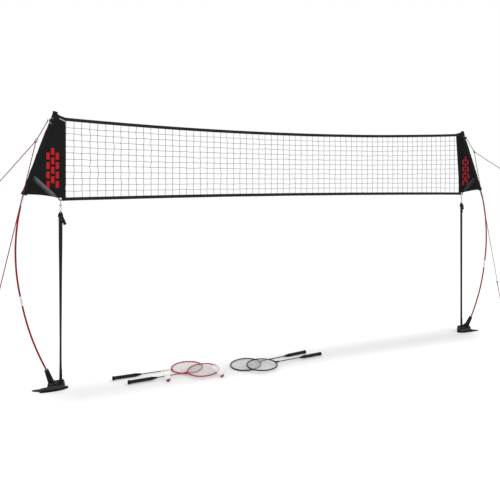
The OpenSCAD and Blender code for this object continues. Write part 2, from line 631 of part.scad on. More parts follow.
// dome position (net plane at y = 0), heading of the skirt, rise of the axis
module shuttle_at(p, yaw, rise) {
  translate([p[0], p[1] + net_y, cork_r + 0.4]) rotate([0, 0, yaw]) rotate([0, 90 - rise, 0]) children();
}
one = [-860, -111];
two = [-542, -158];
module shuttle_one_cork() { color([0.5, 0.06, 0.1]) shuttle_at(one, 97, 38) shuttle_cork(); }
module shuttle_one_skirt() { color("white") shuttle_at(one, 97, 38) shuttle_skirt(); }
module shuttle_two_cork() { color([0.5, 0.06, 0.1]) shuttle_at(two, 112, 42.5) shuttle_cork(); }
module shuttle_two_skirt() { color("white") shuttle_at(two, 112, 42.5) shuttle_skirt(); }

net_mesh();
top_tape();
bottom_tape();
left_end_panel();
right_end_panel();
corner_grommets();
guy_tabs();
left_pole_upper();
left_pole_middle();
left_pole_lower();
right_pole_upper();
right_pole_middle();
right_pole_lower();
pole_ferrules();
pole_tip_caps();
left_base_foot();
right_base_foot();
left_base_housing();
right_base_housing();
pole_sockets();
base_screws();
strap_anchor_pins();
left_tension_strap();
right_tension_strap();
buckle_frames();
left_buckle_lever();
right_buckle_lever();
buckle_pins();
strap_hooks();
hook_loops();
left_guy_bridle();
right_guy_bridle();
left_back_guy();
left_front_guy();
right_front_guy();
right_back_guy();
guy_junction_rings();
guy_end_rings();
left_guy_slider();
right_guy_slider();
red_rear_frame();
red_rear_strings();
red_rear_shaft();
red_rear_grip();
red_front_frame();
red_front_strings();
red_front_shaft();
red_front_grip();
black_rear_frame();
black_rear_strings();
black_rear_shaft();
black_rear_grip();
black_front_frame();
black_front_strings();
black_front_shaft();
black_front_grip();
shuttle_one_cork();
shuttle_one_skirt();
shuttle_two_cork();
shuttle_two_skirt();
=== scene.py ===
import bpy, bmesh, math, random
import numpy as np
from mathutils import Vector, Matrix


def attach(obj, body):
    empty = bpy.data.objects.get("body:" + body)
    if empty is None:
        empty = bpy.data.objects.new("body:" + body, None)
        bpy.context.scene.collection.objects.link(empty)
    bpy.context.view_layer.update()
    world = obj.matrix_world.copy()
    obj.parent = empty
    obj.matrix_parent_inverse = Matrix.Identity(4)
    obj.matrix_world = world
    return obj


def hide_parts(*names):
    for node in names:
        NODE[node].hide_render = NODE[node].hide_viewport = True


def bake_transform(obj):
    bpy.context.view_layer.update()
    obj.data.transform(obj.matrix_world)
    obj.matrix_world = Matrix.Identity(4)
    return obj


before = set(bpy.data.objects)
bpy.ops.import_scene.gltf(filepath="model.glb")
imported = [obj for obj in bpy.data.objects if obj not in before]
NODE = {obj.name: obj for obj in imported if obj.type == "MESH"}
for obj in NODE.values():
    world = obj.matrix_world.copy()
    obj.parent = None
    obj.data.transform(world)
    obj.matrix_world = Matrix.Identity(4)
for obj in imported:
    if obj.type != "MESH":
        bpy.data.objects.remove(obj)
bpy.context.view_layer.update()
rng = random.Random(7)
MM = 0.001
NET_Y, NET_HALF = 0.040, 1.432

# ---------------------------------------------------------------- camera
cam_data = bpy.data.cameras.new("camera")
cam = bpy.data.objects.new("camera", cam_data)
bpy.context.scene.collection.objects.link(cam)
cam.location = (-1.281, -2.762, 1.210)
cam.rotation_euler = (math.radians(90), 0, -0.335)
cam_data.sensor_width = 36
cam_data.lens = 36 * 450 / 500
cam_data.shift_x = 0
cam_data.shift_y = (178.3 - 250) / 500
cam_data.clip_start, cam_data.clip_end = 0.05, 100
bpy.context.scene.camera = cam


# ---------------------------------------------------------------- mesh helpers
class Build:
    """Collects vertices and faces, with a map named thread: u round the piece, v along it in metres."""

    def __init__(self):
        self.v, self.f, self.uv, self.m = [], [], [], []

    def add(self, verts, faces, uv=None, mi=0):
        off = len(self.v)
        self.v.extend([tuple(float(c) for c in p) for p in verts])
        for f in faces:
            self.f.append([i + off for i in f])
            self.m.append(mi)
        self.uv.extend(uv if uv is not None else [(0.0, 0.0)] * sum(len(f) for f in faces))

    def make(self, name, mats, body="net_stand", slot=None, smooth=40, replaces=(), fix=True):
        me = bpy.data.meshes.new(name)
        me.from_pydata(self.v, [], self.f)
        for m in mats if isinstance(mats, (list, tuple)) else [mats]:
            me.materials.append(m)
        layer = me.uv_layers.new(name="thread")
        layer.uv.foreach_set("vector", np.array(self.uv, np.float32).ravel())
        me.polygons.foreach_set("material_index", np.array(self.m, np.int32))
        me.update()
        if fix:
            bm = bmesh.new()
            bm.from_mesh(me)
            bmesh.ops.recalc_face_normals(bm, faces=bm.faces)
            bm.to_mesh(me)
            bm.free()
        finish_mesh(me, smooth)
        return put(name, me, body, slot, replaces)


def finish_mesh(me, smooth):
    """Smooth faces, sharp where two meet at more than so many degrees."""
    me.polygons.foreach_set("use_smooth", np.ones(len(me.polygons), bool))
    me.update()
    if smooth is not None and smooth < 180:
        me.set_sharp_from_angle(angle=math.radians(smooth))


def put(name, me, body, slot=None, replaces=()):
    o = bpy.data.objects.new(name, me)
    bpy.context.scene.collection.objects.link(o)
    if body:
        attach(o, body)
    if replaces:
        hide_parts(*([replaces] if isinstance(replaces, str) else replaces))
    return o


def lengths(pts):
    return np.concatenate([[0.0], np.cumsum(np.linalg.norm(np.diff(pts, axis=0), axis=1))])


def frames_along(pts, first=None, closed=False):
    """Tangent and two side vectors at each point, carried along without twist."""
    pts = np.asarray(pts, float)
    if closed:
        t = np.roll(pts, -1, 0) - np.roll(pts, 1, 0)
    else:
        t = np.gradient(pts, axis=0)
    t /= np.linalg.norm(t, axis=1)[:, None]
    n = np.zeros_like(t)
    a = np.array(first, float) if first is not None else np.array([0.0, 1.0, 0.0])
    if abs(a @ t[0]) > 0.95 * np.linalg.norm(a):
        a = np.array([1.0, 0.0, 0.0])
    a = a - (a @ t[0]) * t[0]
    n[0] = a / np.linalg.norm(a)
    for i in range(1, len(pts)):
        a = n[i - 1] - (n[i - 1] @ t[i]) * t[i]
        n[i] = a / np.linalg.norm(a)
    return t, n, np.cross(t, n)


def ring_faces(n, k, closed=False, caps=True, v=None, reps=1.0):
    """Faces and map corners of n rings of k points."""
    v = np.arange(n) * 0.01 if v is None else v
    f, uv = [], []
    last = n if closed else n - 1
    for i in range(last):
        j = (i + 1) % n
        v1 = v[j] if j else v[-1] + (v[-1] - v[-2])
        for q in range(k):
            w = (q + 1) % k
            f.append((i * k + q, i * k + w, j * k + w, j * k + q))
            uv += [(q / k * reps, v[i]), ((q + 1) / k * reps, v[i]), ((q + 1) / k * reps, v1), (q / k * reps, v1)]
    if caps and not closed:
        f.append(tuple(range(k - 1, -1, -1)))
        uv += [(0.5, v[0])] * k
        f.append(tuple((n - 1) * k + q for q in range(k)))
        uv += [(0.5, v[-1])] * k
    return f, uv


def sweep(b, pts, r, sides=10, closed=False, caps=True, first=None, prof=None, mi=0, turn=None, v0=0.0):
    """A round tube of radius r (one number or one per point), or a profile of (side, up) offsets, along pts."""
    pts = np.asarray(pts, float)
    t, n, c = frames_along(pts, first, closed)
    if turn is not None:
        w = np.asarray(turn, float)[:, None]
        n, c = n * np.cos(w) + c * np.sin(w), c * np.cos(w) - n * np.sin(w)
    if prof is None:
        a = 2 * math.pi * np.arange(sides) / sides
        prof = np.stack([np.cos(a), np.sin(a)], 1)
        scale = np.broadcast_to(np.asarray(r, float), (len(pts),))
    else:
        prof = np.asarray(prof, float)
        scale = np.broadcast_to(np.asarray(r if r is not None else 1.0, float), (len(pts),))
    if prof.ndim == 2:
        prof = np.broadcast_to(prof, (len(pts),) + prof.shape)
    ring = pts[:, None, :] + scale[:, None, None] * (prof[:, :, :1] * n[:, None, :] + prof[:, :, 1:] * c[:, None, :])
    f, uv = ring_faces(len(pts), prof.shape[1], closed, caps, lengths(pts) + v0)
    b.add(ring.reshape(-1, 3), f, uv, mi)


def lathe(b, origin, axis, prof, sides=32, mi=0, caps=True, side=None):
    """Rings of (radius, distance along the axis)."""
    z = np.array(axis, float)
    z /= np.linalg.norm(z)
    x = np.array(side, float) if side is not None else (np.array([1.0, 0, 0]) if abs(z[0]) < 0.9 else np.array([0, 1.0, 0]))
    x -= (x @ z) * z
    x /= np.linalg.norm(x)
    y = np.cross(z, x)
    a = 2 * math.pi * np.arange(sides) / sides
    circle = np.cos(a)[:, None] * x + np.sin(a)[:, None] * y
    pts = np.concatenate([np.array(origin, float) + d * z + max(r, 1e-6) * circle for r, d in prof])
    run = lengths(np.array([(r, d) for r, d in prof], float))
    f, uv = ring_faces(len(prof), sides, False, caps, run)
    b.add(pts, f, uv, mi)


def lump(b, centre, radii, axes=None, rows=6, cols=10, rough=0.0, seed=0, mi=0):
    """A small uneven ball, for knots."""
    g = random.Random(seed)
    ax = np.eye(3) if axes is None else np.array(axes, float)
    verts = [np.array([0, 0, -1.0])]
    for i in range(1, rows):
        th = math.pi * i / rows
        for k in range(cols):
            ph = 2 * math.pi * k / cols
            s = 1 + rough * (g.random() - 0.5)
            verts.append(np.array([math.sin(th) * math.cos(ph), math.sin(th) * math.sin(ph), -math.cos(th)]) * s)
    verts.append(np.array([0, 0, 1.0]))
    pts = [np.array(centre) + (p * np.array(radii)) @ ax for p in verts]
    f = [(0, 1 + (k + 1) % cols, 1 + k) for k in range(cols)]
    for i in range(rows - 2):
        for k in range(cols):
            a, c = 1 + i * cols + k, 1 + i * cols + (k + 1) % cols
            f.append((a, c, c + cols, a + cols))
    top, base = len(verts) - 1, 1 + (rows - 2) * cols
    f += [(base + k, base + (k + 1) % cols, top) for k in range(cols)]
    uv = []
    for face in f:
        uv += [(pts[i][0] * 200, pts[i][2]) for i in face]
    b.add(pts, f, uv, mi)


def smoothstep(x, a, c):
    t = np.clip((np.asarray(x, float) - a) / (c - a), 0, 1)
    return t * t * (3 - 2 * t)


# ---------------------------------------------------------------- materials
def new_mat(name, color, rough, metal=0.0, **sockets):
    m = bpy.data.materials.new(name)
    m.use_nodes = True
    nt = m.node_tree
    p = nt.nodes["Principled BSDF"]
    p.inputs["Base Color"].default_value = (*color, 1)
    p.inputs["Roughness"].default_value = rough
    p.inputs["Metallic"].default_value = metal
    for k, v in sockets.items():
        p.inputs[k.replace("_", " ")].default_value = v
    return m, nt, p


def node(nt, kind, **at):
    n = nt.nodes.new(kind)
    for k, v in at.items():
        if k.startswith("in_"):
            key = k[3:]
            n.inputs[int(key) if key.isdigit() else key.replace("_", " ")].default_value = v
        else:
            setattr(n, k, v)
    return n


def link(nt, a, out, c, inp):
    nt.links.new(a.outputs[out], c.inputs[inp])


def maths(nt, op, a, c=None):
    n = node(nt, "ShaderNodeMath", operation=op)
    for i, x in enumerate((a, c)):
        if x is None:
            continue
        if isinstance(x, (int, float)):
            n.inputs[i].default_value = x
        else:
            nt.links.new(x, n.inputs[i])
    return n.outputs[0]


def coords(nt, kind="Object", uv=None):
    if uv:
        return node(nt, "ShaderNodeUVMap", uv_map=uv).outputs[0]
    return node(nt, "ShaderNodeTexCoord").outputs[kind]


def scaled(nt, vec, s):
    mp = node(nt, "ShaderNodeMapping")
    mp.inputs["Scale"].default_value = s
    nt.links.new(vec, mp.inputs["Vector"])
    return mp.outputs[0]


def noise(nt, vec, scale, detail=3.0, rough=0.55):
    n = node(nt, "ShaderNodeTexNoise")
    n.inputs["Scale"].default_value = scale
    n.inputs["Detail"].default_value = detail
    n.inputs["Roughness"].default_value = rough
    nt.links.new(vec, n.inputs["Vector"])
    return n.outputs["Fac"]


def ramp(nt, fac, stops):
    r = node(nt, "ShaderNodeValToRGB")
    e = r.color_ramp.elements
    while len(e) < len(stops):
        e.new(0.5)
    for i, (at, c) in enumerate(stops):
        e[i].position = at
        e[i].color = (*c, 1) if len(c) == 3 else c
    nt.links.new(fac, r.inputs[0])
    return r.outputs[0]


def level(nt, fac, lo, hi, a=0.0, c=1.0):
    r = node(nt, "ShaderNodeMapRange")
    for k, v in (("From Min", lo), ("From Max", hi), ("To Min", a), ("To Max", c)):
        r.inputs[k].default_value = v
    nt.links.new(fac, r.inputs[0])
    return r.outputs[0]


def mix(nt, fac, a, c):
    m = node(nt, "ShaderNodeMix", data_type="RGBA")
    for i, x in ((0, fac), (6, a), (7, c)):
        if isinstance(x, tuple):
            m.inputs[i].default_value = (*x, 1)
        elif isinstance(x, (int, float)):
            m.inputs[i].default_value = x
        else:
            nt.links.new(x, m.inputs[i])
    return m.outputs[2]


def bump(nt, p, height, dist, strength=1.0):
    b = node(nt, "ShaderNodeBump")
    b.inputs["Strength"].default_value = strength
    b.inputs["Distance"].default_value = dist
    nt.links.new(height, b.inputs["Height"])
    nt.links.new(b.outputs[0], p.inputs["Normal"])


def axis_of(nt, vec, k):
    s = node(nt, "ShaderNodeSeparateXYZ")
    nt.links.new(vec, s.inputs[0])
    return s.outputs[k]


def plain_weave(nt, a, c, period):
    """Height of an over-and-under weave from two coordinates in metres."""
    ka = maths(nt, "MULTIPLY", a, math.pi / period)
    kc = maths(nt, "MULTIPLY", c, math.pi / period)
    sa, sc = maths(nt, "SINE", ka), maths(nt, "SINE", kc)
    over = maths(nt, "GREATER_THAN", maths(nt, "MULTIPLY", sa, sc), 0.0)
    ha, hc = maths(nt, "ABSOLUTE", sa), maths(nt, "ABSOLUTE", sc)
    up = maths(nt, "MULTIPLY", over, ha)
    un = maths(nt, "MULTIPLY", maths(nt, "SUBTRACT", 1.0, over), hc)
    return maths(nt, "ADD", up, un)


def cloth(name, base, light, rough, period, dist, sheen=0.02, spec=0.06, marks=None, painted_shade_scale=1.0):
    """Woven cloth seen in the net's plane."""
    m, nt, p = new_mat(name, base, rough, Sheen_Weight=sheen, Sheen_Roughness=0.45)
    p.inputs["Specular IOR Level"].default_value = spec
    obj = coords(nt)
    x, z = axis_of(nt, obj, 0), axis_of(nt, obj, 2)
    weave = plain_weave(nt, x, z, period)
    slub = noise(nt, scaled(nt, obj, (1, 1, 9)), 90, 2)
    stain = noise(nt, obj, 9, 4)
    shade = maths(nt, "ADD", maths(nt, "MULTIPLY", weave, 0.45), maths(nt, "MULTIPLY", slub, 0.35))
    shade = maths(nt, "ADD", shade, maths(nt, "MULTIPLY", stain, 0.3))
    col = mix(nt, level(nt, shade, 0.25, 0.85), base, light)
    if marks is not None:
        o = maths(nt, "SUBTRACT", maths(nt, "MULTIPLY", x, float(marks)), NET_HALF)
        # three columns of short red dashes, every other column half a step higher
        c = maths(nt, "DIVIDE", maths(nt, "SUBTRACT", o, 0.033), 0.0245)
        ci = maths(nt, "FLOOR", c)
        cu = maths(nt, "SUBTRACT", c, ci)
        odd = maths(nt, "SUBTRACT", 1.0, maths(nt, "ABSOLUTE", maths(nt, "SUBTRACT", ci, 1.0)))
        r = maths(nt, "DIVIDE", maths(nt, "SUBTRACT", maths(nt, "SUBTRACT", z, 1.150), maths(nt, "MULTIPLY", odd, 0.027)), 0.054)
        ri = maths(nt, "FLOOR", r)
        ru = maths(nt, "SUBTRACT", r, ri)

        def within(a, lo, hi):
            return maths(nt, "MULTIPLY", maths(nt, "GREATER_THAN", a, lo), maths(nt, "LESS_THAN", a, hi))

        mask = maths(nt, "MULTIPLY", within(cu, 0.10, 0.80), within(ru, 0.10, 0.82))
        mask = maths(nt, "MULTIPLY", mask, maths(nt, "MULTIPLY", within(ci, -0.5, 2.5), within(ri, -0.5, 3.5)))
        worn = level(nt, noise(nt, obj, 260, 3), 0.3, 0.7, 0.92, 1.0)
        mask = maths(nt, "MULTIPLY", mask, worn)
        # on the right panel the print is darkened as painted shade
        ink = mix(nt, weave, (0.26 * painted_shade_scale, 0.006, 0.011), (0.40 * painted_shade_scale, 0.012, 0.018))
        # painted highlight: a pale strip under the top band of the left panel
        drop = maths(nt, "SUBTRACT", maths(nt, "ADD", 1.5600, maths(nt, "MULTIPLY", o, 0.50)), z)
        top_edge_highlight = maths(nt, "MULTIPLY", within(drop, 0.0195, 0.0255), within(o, 0.001, 0.034))
        if marks < 0:
            col = mix(nt, top_edge_highlight, col, (0.30, 0.31, 0.32))
        # painted highlight: the cloth just under the corner crease is painted paler, standing for light caught on the
        # fold
        fold = maths(nt, "SUBTRACT", maths(nt, "ADD", 1.0937, maths(nt, "MULTIPLY", maths(nt, "SUBTRACT", o, 0.030), 1.003)), z)
        fold_highlight = maths(nt, "MULTIPLY", level(nt, fold, 0.0, 0.004), level(nt, fold, 0.039, 0.009))
        fold_highlight = maths(nt, "MULTIPLY", fold_highlight, maths(nt, "MULTIPLY", level(nt, o, 0.044, 0.064), level(nt, o, 0.172, 0.148)))
        col = mix(nt, maths(nt, "MULTIPLY", fold_highlight, 0.9 * painted_shade_scale), col, (0.108, 0.115, 0.124) if painted_shade_scale == 1.0 else (0.050, 0.056, 0.064))
        col = mix(nt, mask, col, ink)
    nt.links.new(col, p.inputs["Base Color"])
    nt.links.new(level(nt, stain, 0.3, 0.7, rough - 0.06, rough + 0.08), p.inputs["Roughness"])
    bump(nt, p, maths(nt, "ADD", weave, maths(nt, "MULTIPLY", slub, 0.5)), dist)
    return m


def twisted(name, base, light, rough, strands, pitch, dist, fleck=None):
    """Laid or braided cord: the map runs round and along it."""
    m, nt, p = new_mat(name, base, rough, Sheen_Weight=0.02, Sheen_Roughness=0.5)
    p.inputs["Specular IOR Level"].default_value = 0.05
    uv = coords(nt, uv="thread")
    u, v = axis_of(nt, uv, 0), axis_of(nt, uv, 1)
    a = maths(nt, "MULTIPLY", u, 2 * math.pi * strands)
    c = maths(nt, "MULTIPLY", v, 2 * math.pi / pitch)
    one = maths(nt, "SINE", maths(nt, "ADD", a, c))
    two = maths(nt, "SINE", maths(nt, "SUBTRACT", a, c))
    h = maths(nt, "MAXIMUM", one, two) if fleck else one
    fuzz = noise(nt, coords(nt), 900, 2)
    f = level(nt, maths(nt, "ADD", h, fuzz), -0.3, 1.6)
    col = mix(nt, f, base, light)
    if fleck:
        sel = maths(nt, "GREATER_THAN", maths(nt, "MULTIPLY", maths(nt, "SINE", maths(nt, "MULTIPLY", maths(nt, "ADD", a, c), 0.5)), two), 0.45)
        col = mix(nt, sel, col, fleck)
    nt.links.new(col, p.inputs["Base Color"])
    bump(nt, p, maths(nt, "ADD", h, maths(nt, "MULTIPLY", fuzz, 0.6)), dist)
    return m


def webbing_mat(name, base, light):
    m, nt, p = new_mat(name, base, 0.62, Sheen_Weight=0.02, Sheen_Roughness=0.4)
    p.inputs["Specular IOR Level"].default_value = 0.06
    uv = coords(nt, uv="thread")
    u, v = axis_of(nt, uv, 0), axis_of(nt, uv, 1)
    rib = maths(nt, "ABSOLUTE", maths(nt, "SINE", maths(nt, "MULTIPLY", v, math.pi / 0.0011)))
    warp = maths(nt, "ABSOLUTE", maths(nt, "SINE", maths(nt, "MULTIPLY", u, math.pi * 44)))
    zig = maths(nt, "SINE", maths(nt, "ADD", maths(nt, "MULTIPLY", u, 2 * math.pi * 11), maths(nt, "MULTIPLY", v, 2 * math.pi / 0.0044)))
    h = maths(nt, "ADD", maths(nt, "MULTIPLY", rib, 0.6), maths(nt, "MULTIPLY", warp, 0.5))
    h = maths(nt, "ADD", h, maths(nt, "MULTIPLY", zig, 0.25))
    wear = noise(nt, coords(nt), 60, 4)
    f = level(nt, maths(nt, "ADD", h, wear), 0.4, 1.9)
    nt.links.new(mix(nt, f, base, light), p.inputs["Base Color"])
    nt.links.new(level(nt, wear, 0.3, 0.7, 0.55, 0.72), p.inputs["Roughness"])
    bump(nt, p, h, 0.00025)
    return m


def metal(name, color, rough, grain=(1, 1, 1), amount=0.12, scale=600, dist=0.00001):
    m, nt, p = new_mat(name, color, rough, 1.0)
    obj = coords(nt)
    g = noise(nt, scaled(nt, obj, grain), scale, 3)
    smudge = noise(nt, obj, 70, 4)
    dark = tuple(c * 0.72 for c in color)
    nt.links.new(mix(nt, level(nt, smudge, 0.35, 0.7), color, dark), p.inputs["Base Color"])
    nt.links.new(level(nt, maths(nt, "ADD", g, smudge), 0.6, 1.4, rough - amount / 2, rough + amount), p.inputs["Roughness"])
    bump(nt, p, g, dist)
    return m


def plastic(name, color, light, rough, grain=1400, dist=0.00004, dust=0.5, coat=0.0, spec=0.25, rib_highlight_bands=()):
    m, nt, p = new_mat(name, color, rough, Coat_Weight=coat, Coat_Roughness=0.15)
    p.inputs["Specular IOR Level"].default_value = spec
    obj = coords(nt)
    g = noise(nt, obj, grain, 2)
    d = noise(nt, obj, 45, 5, 0.65)
    f = maths(nt, "MULTIPLY", level(nt, d, 0.42, 0.78), dust)
    col = mix(nt, f, color, light)
    # painted highlight on the ribs' upper edges, where light from above catches them, broken up by the dust noise
    z = axis_of(nt, obj, 2) if rib_highlight_bands else None
    for lo, hi in rib_highlight_bands:
        rib_highlight = maths(nt, "MULTIPLY", level(nt, z, lo, lo + 0.0008), level(nt, z, hi + 0.0004, hi))
        rib_highlight = maths(nt, "MULTIPLY", rib_highlight, level(nt, d, 0.30, 0.55, 0.55, 1.0))
        col = mix(nt, rib_highlight, col, (0.075, 0.076, 0.077))
    nt.links.new(col, p.inputs["Base Color"])
    nt.links.new(level(nt, d, 0.3, 0.75, rough - 0.07, rough + 0.1), p.inputs["Roughness"])
    bump(nt, p, g, dist)
    return m


def enamel(name, color, light, rough, coat, streak=False, dist=0.00001, spec=0.3, fade=None):
    m, nt, p = new_mat(name, color, rough, Coat_Weight=coat, Coat_Roughness=0.06)
    p.inputs["Specular IOR Level"].default_value = spec
    obj = coords(nt)
    uv = coords(nt, uv="thread")
    if streak:
        g = noise(nt, scaled(nt, uv, (60, 9, 1)), 1.0, 4)
    else:
        g = noise(nt, obj, 1500, 2)
    wear = noise(nt, obj, 55, 5, 0.7)
    f = level(nt, maths(nt, "ADD", maths(nt, "MULTIPLY", g, 0.7), maths(nt, "MULTIPLY", wear, 0.4)), 0.4, 0.75)
    col = mix(nt, f, color, light)
    if fade:
        # bare graphite at the start, lacquered further along
        col = mix(nt, level(nt, axis_of(nt, uv, 1), fade[0], fade[1]), fade[2], col)
    nt.links.new(col, p.inputs["Base Color"])
    nt.links.new(level(nt, wear, 0.3, 0.7, rough - 0.05, rough + 0.12), p.inputs["Roughness"])
    bump(nt, p, g, dist)
    return m


def grip_mat(name):
    m, nt, p = new_mat(name, (0.009, 0.009, 0.010), 0.6, Sheen_Weight=0.04)
    p.inputs["Specular IOR Level"].default_value = 0.10
    uv = coords(nt, uv="thread")
    u, v = axis_of(nt, uv, 0), axis_of(nt, uv, 1)
    s = maths(nt, "SUBTRACT", maths(nt, "DIVIDE", v, 0.017), u)
    ph = maths(nt, "FRACT", s)
    a = maths(nt, "SINE", maths(nt, "MULTIPLY", ph, 2 * math.pi * 5))
    c = maths(nt, "SINE", maths(nt, "MULTIPLY", maths(nt, "ADD", u, maths(nt, "MULTIPLY", v, 3.0)), 2 * math.pi * 18))
    holes = maths(nt, "GREATER_THAN", maths(nt, "MULTIPLY", a, c), 0.62)
    grain = noise(nt, coords(nt), 1100, 3)
    sweat = noise(nt, coords(nt), 40, 4)
    f = level(nt, maths(nt, "ADD", grain, maths(nt, "MULTIPLY", sweat, 0.8)), 0.6, 1.3)
    col = mix(nt, f, (0.005, 0.005, 0.0055), (0.017, 0.017, 0.018))
    nt.links.new(mix(nt, holes, col, (0.004, 0.004, 0.004)), p.inputs["Base Color"])
    nt.links.new(level(nt, sweat, 0.3, 0.7, 0.5, 0.72), p.inputs["Roughness"])
    bump(nt, p, maths(nt, "SUBTRACT", maths(nt, "MULTIPLY", grain, 0.35), holes), 0.00022)
    return m


def nylon(name, color, rough, sss=0.0, trans=0.0, spec=0.4):
    m, nt, p = new_mat(name, color, rough, Subsurface_Weight=sss, Subsurface_Scale=0.002)
    p.inputs["Transmission Weight"].default_value = trans
    p.inputs["Specular IOR Level"].default_value = spec
    obj = coords(nt)
    g = noise(nt, obj, 800, 2)
    s = noise(nt, obj, 60, 3)
    dark = tuple(c * 0.86 for c in color)
    nt.links.new(mix(nt, level(nt, s, 0.35, 0.75), color, dark), p.inputs["Base Color"])
    nt.links.new(level(nt, g, 0.3, 0.7, rough - 0.05, rough + 0.08), p.inputs["Roughness"])
    bump(nt, p, g, 0.00002)
    return m


M = {
    "twine": twisted("net_twine", (0.005, 0.005, 0.0055), (0.015, 0.015, 0.016), 0.8, 3, 0.006, 0.0002),
    "tape": cloth("tape_cloth", (0.0055, 0.0055, 0.006), (0.017, 0.017, 0.018), 0.68, 0.0009, 0.00012),
    "panel_l": cloth("panel_cloth_left", (0.0040, 0.0044, 0.0041), (0.0092, 0.0098, 0.0093), 0.5, 0.0011, 0.00010, sheen=0.01, spec=0.035, marks=-1),
    # painted shade: the right panel's cloth is a darker copy of the left's, its print and fold highlight scaled down
    # too, for the shade on the right end
    "panel_r": cloth("panel_cloth_right_painted_shade", (0.0022, 0.0024, 0.0023), (0.0056, 0.0060, 0.0058), 0.55, 0.0011, 0.00010, sheen=0.01, spec=0.03, marks=1, painted_shade_scale=0.55),
    "sleeve": cloth("sleeve_cloth", (0.0040, 0.0044, 0.0043), (0.0115, 0.0122, 0.0120), 0.55, 0.0011, 0.00012, sheen=0.01, spec=0.04),
    "stitch": twisted("stitch_thread", (0.020, 0.020, 0.021), (0.050, 0.050, 0.052), 0.6, 2, 0.002, 0.0001),
    "webbing": webbing_mat("strap_webbing", (0.0055, 0.0055, 0.006), (0.018, 0.018, 0.019)),
    "cord": twisted("guy_cord", (0.085, 0.004, 0.004), (0.190, 0.011, 0.009), 0.8, 4, 0.006, 0.0004, fleck=(0.040, 0.020, 0.019)),
    "loop": twisted("loop_cord", (0.22, 0.21, 0.20), (0.44, 0.43, 0.41), 0.65, 4, 0.006, 0.0004),
    "loop_b": twisted("loop_cord_orange", (0.40, 0.13, 0.035), (0.62, 0.24, 0.08), 0.65, 4, 0.006, 0.0004),
    "nickel": metal("nickel", (0.78, 0.77, 0.74), 0.24),
    "eyelet": metal("gunmetal_eyelet", (0.030, 0.030, 0.032), 0.40),
    "ferrule": metal("ferrule_aluminium", (0.62, 0.63, 0.65), 0.34, (1, 1, 14), 0.16, 260),
    "steel": metal("zinc_steel", (0.56, 0.57, 0.58), 0.36),
    "hook": metal("hook_steel", (0.30, 0.30, 0.31), 0.36),
    "dark_screw": metal("blackened_steel", (0.06, 0.06, 0.063), 0.42),
    "red_rod": enamel("red_rod", (0.150, 0.005, 0.007), (0.230, 0.011, 0.014), 0.42, 0.0, streak=True, spec=0.12),
    "grey_rod": enamel("grey_rod", (0.26, 0.27, 0.28), (0.36, 0.37, 0.38), 0.35, 0.4, streak=True),
    "red_rod_r": enamel("red_rod_right", (0.150, 0.005, 0.007), (0.230, 0.011, 0.014), 0.42, 0.0, streak=True, spec=0.12, fade=(0.015, 0.105, (0.040, 0.038, 0.036))),
    "grey_rod_r": enamel("grey_rod_right", (0.080, 0.081, 0.076), (0.115, 0.116, 0.109), 0.42, 0.05, streak=True, spec=0.12),
    "base": plastic("base_plastic", (0.0035, 0.0036, 0.0038), (0.014, 0.0145, 0.0145), 0.46, 1100, 0.00006, 0.5, spec=0.10),
    "ribbed": plastic("base_plastic_ribbed", (0.0035, 0.0036, 0.0038), (0.014, 0.0145, 0.0145), 0.46, 1100, 0.00006, 0.5, spec=0.10, rib_highlight_bands=((0.0130, 0.0154), (0.0200, 0.0224), (0.0270, 0.0294))),
    "black": plastic("black_plastic", (0.0035, 0.0035, 0.0037), (0.014, 0.014, 0.0145), 0.42, 1500, 0.00003, 0.4, spec=0.10),
    "lever": plastic("lever_plastic", (0.0065, 0.0065, 0.007), (0.022, 0.022, 0.023), 0.4, 1500, 0.00003, 0.4, spec=0.12),
    "racket_red": enamel("racket_red", (0.26, 0.016, 0.024), (0.34, 0.030, 0.040), 0.34, 0.15, spec=0.2),
    "stem_red": enamel("stem_red", (0.26, 0.016, 0.024), (0.34, 0.030, 0.040), 0.34, 0.15, spec=0.2, fade=(0.11, 0.20, (0.10, 0.10, 0.105))),
    "racket_black": enamel("racket_black", (0.005, 0.005, 0.0055), (0.015, 0.015, 0.016), 0.32, 0.1, spec=0.15),
    "string": nylon("racket_string", (0.58, 0.53, 0.525), 0.4, spec=0.2),
    "string_pale": nylon("racket_string_pale", (0.50, 0.495, 0.485), 0.4, spec=0.2),
    "grip": grip_mat("grip_wrap"),
    "cork": plastic("cork_red", (0.200, 0.018, 0.026), (0.30, 0.045, 0.058), 0.45, 900, 0.00006, 0.8, 0.0, spec=0.2),
    "cork_band": plastic("cork_band", (0.62, 0.62, 0.60), (0.5, 0.5, 0.49), 0.5, 900, 0.00003, 0.6, spec=0.4),
    "skirt": nylon("skirt_nylon", (0.86, 0.86, 0.85), 0.4, 0.25),
}


# ---------------------------------------------------------------- the stand's lines, as the CAD lays them
def at(s, o, z, y=0.0):
    """Point at one end: s is -1 or 1, o the distance outward from the net, in metres."""
    return np.array([s * (NET_HALF + o), NET_Y + y, z])


TIP = {-1: np.array([0.067, 1.592]), 1: np.array([0.046, 1.580])}
LOW = np.array([0.226, 1.124])
lean = {s: math.atan2(LOW[0] - TIP[s][0], TIP[s][1] - LOW[1]) for s in (-1, 1)}
out_n = {s: np.array([math.cos(lean[s]), math.sin(lean[s])]) for s in (-1, 1)}
down_d = {s: np.array([math.sin(lean[s]), -math.cos(lean[s])]) for s in (-1, 1)}
axis_top = {s: TIP[s] - 0.0085 * out_n[s] for s in (-1, 1)}
axis_low = {s: LOW - 0.0085 * out_n[s] for s in (-1, 1)}
sleeve_l = {s: float(np.linalg.norm(axis_low[s] - axis_top[s])) for s in (-1, 1)}
stub = 0.028
HINGE, SOCKET_L, TURN_R = np.array([0.076, 0.043]), 0.0825, 0.090
LEAN = {-1: math.radians(19.1), 1: math.radians(35.0)}
OUT_LEAN = {-1: math.radians(13), 1: math.radians(19)}
HEADING = {-1: math.radians(11), 1: math.radians(14)}
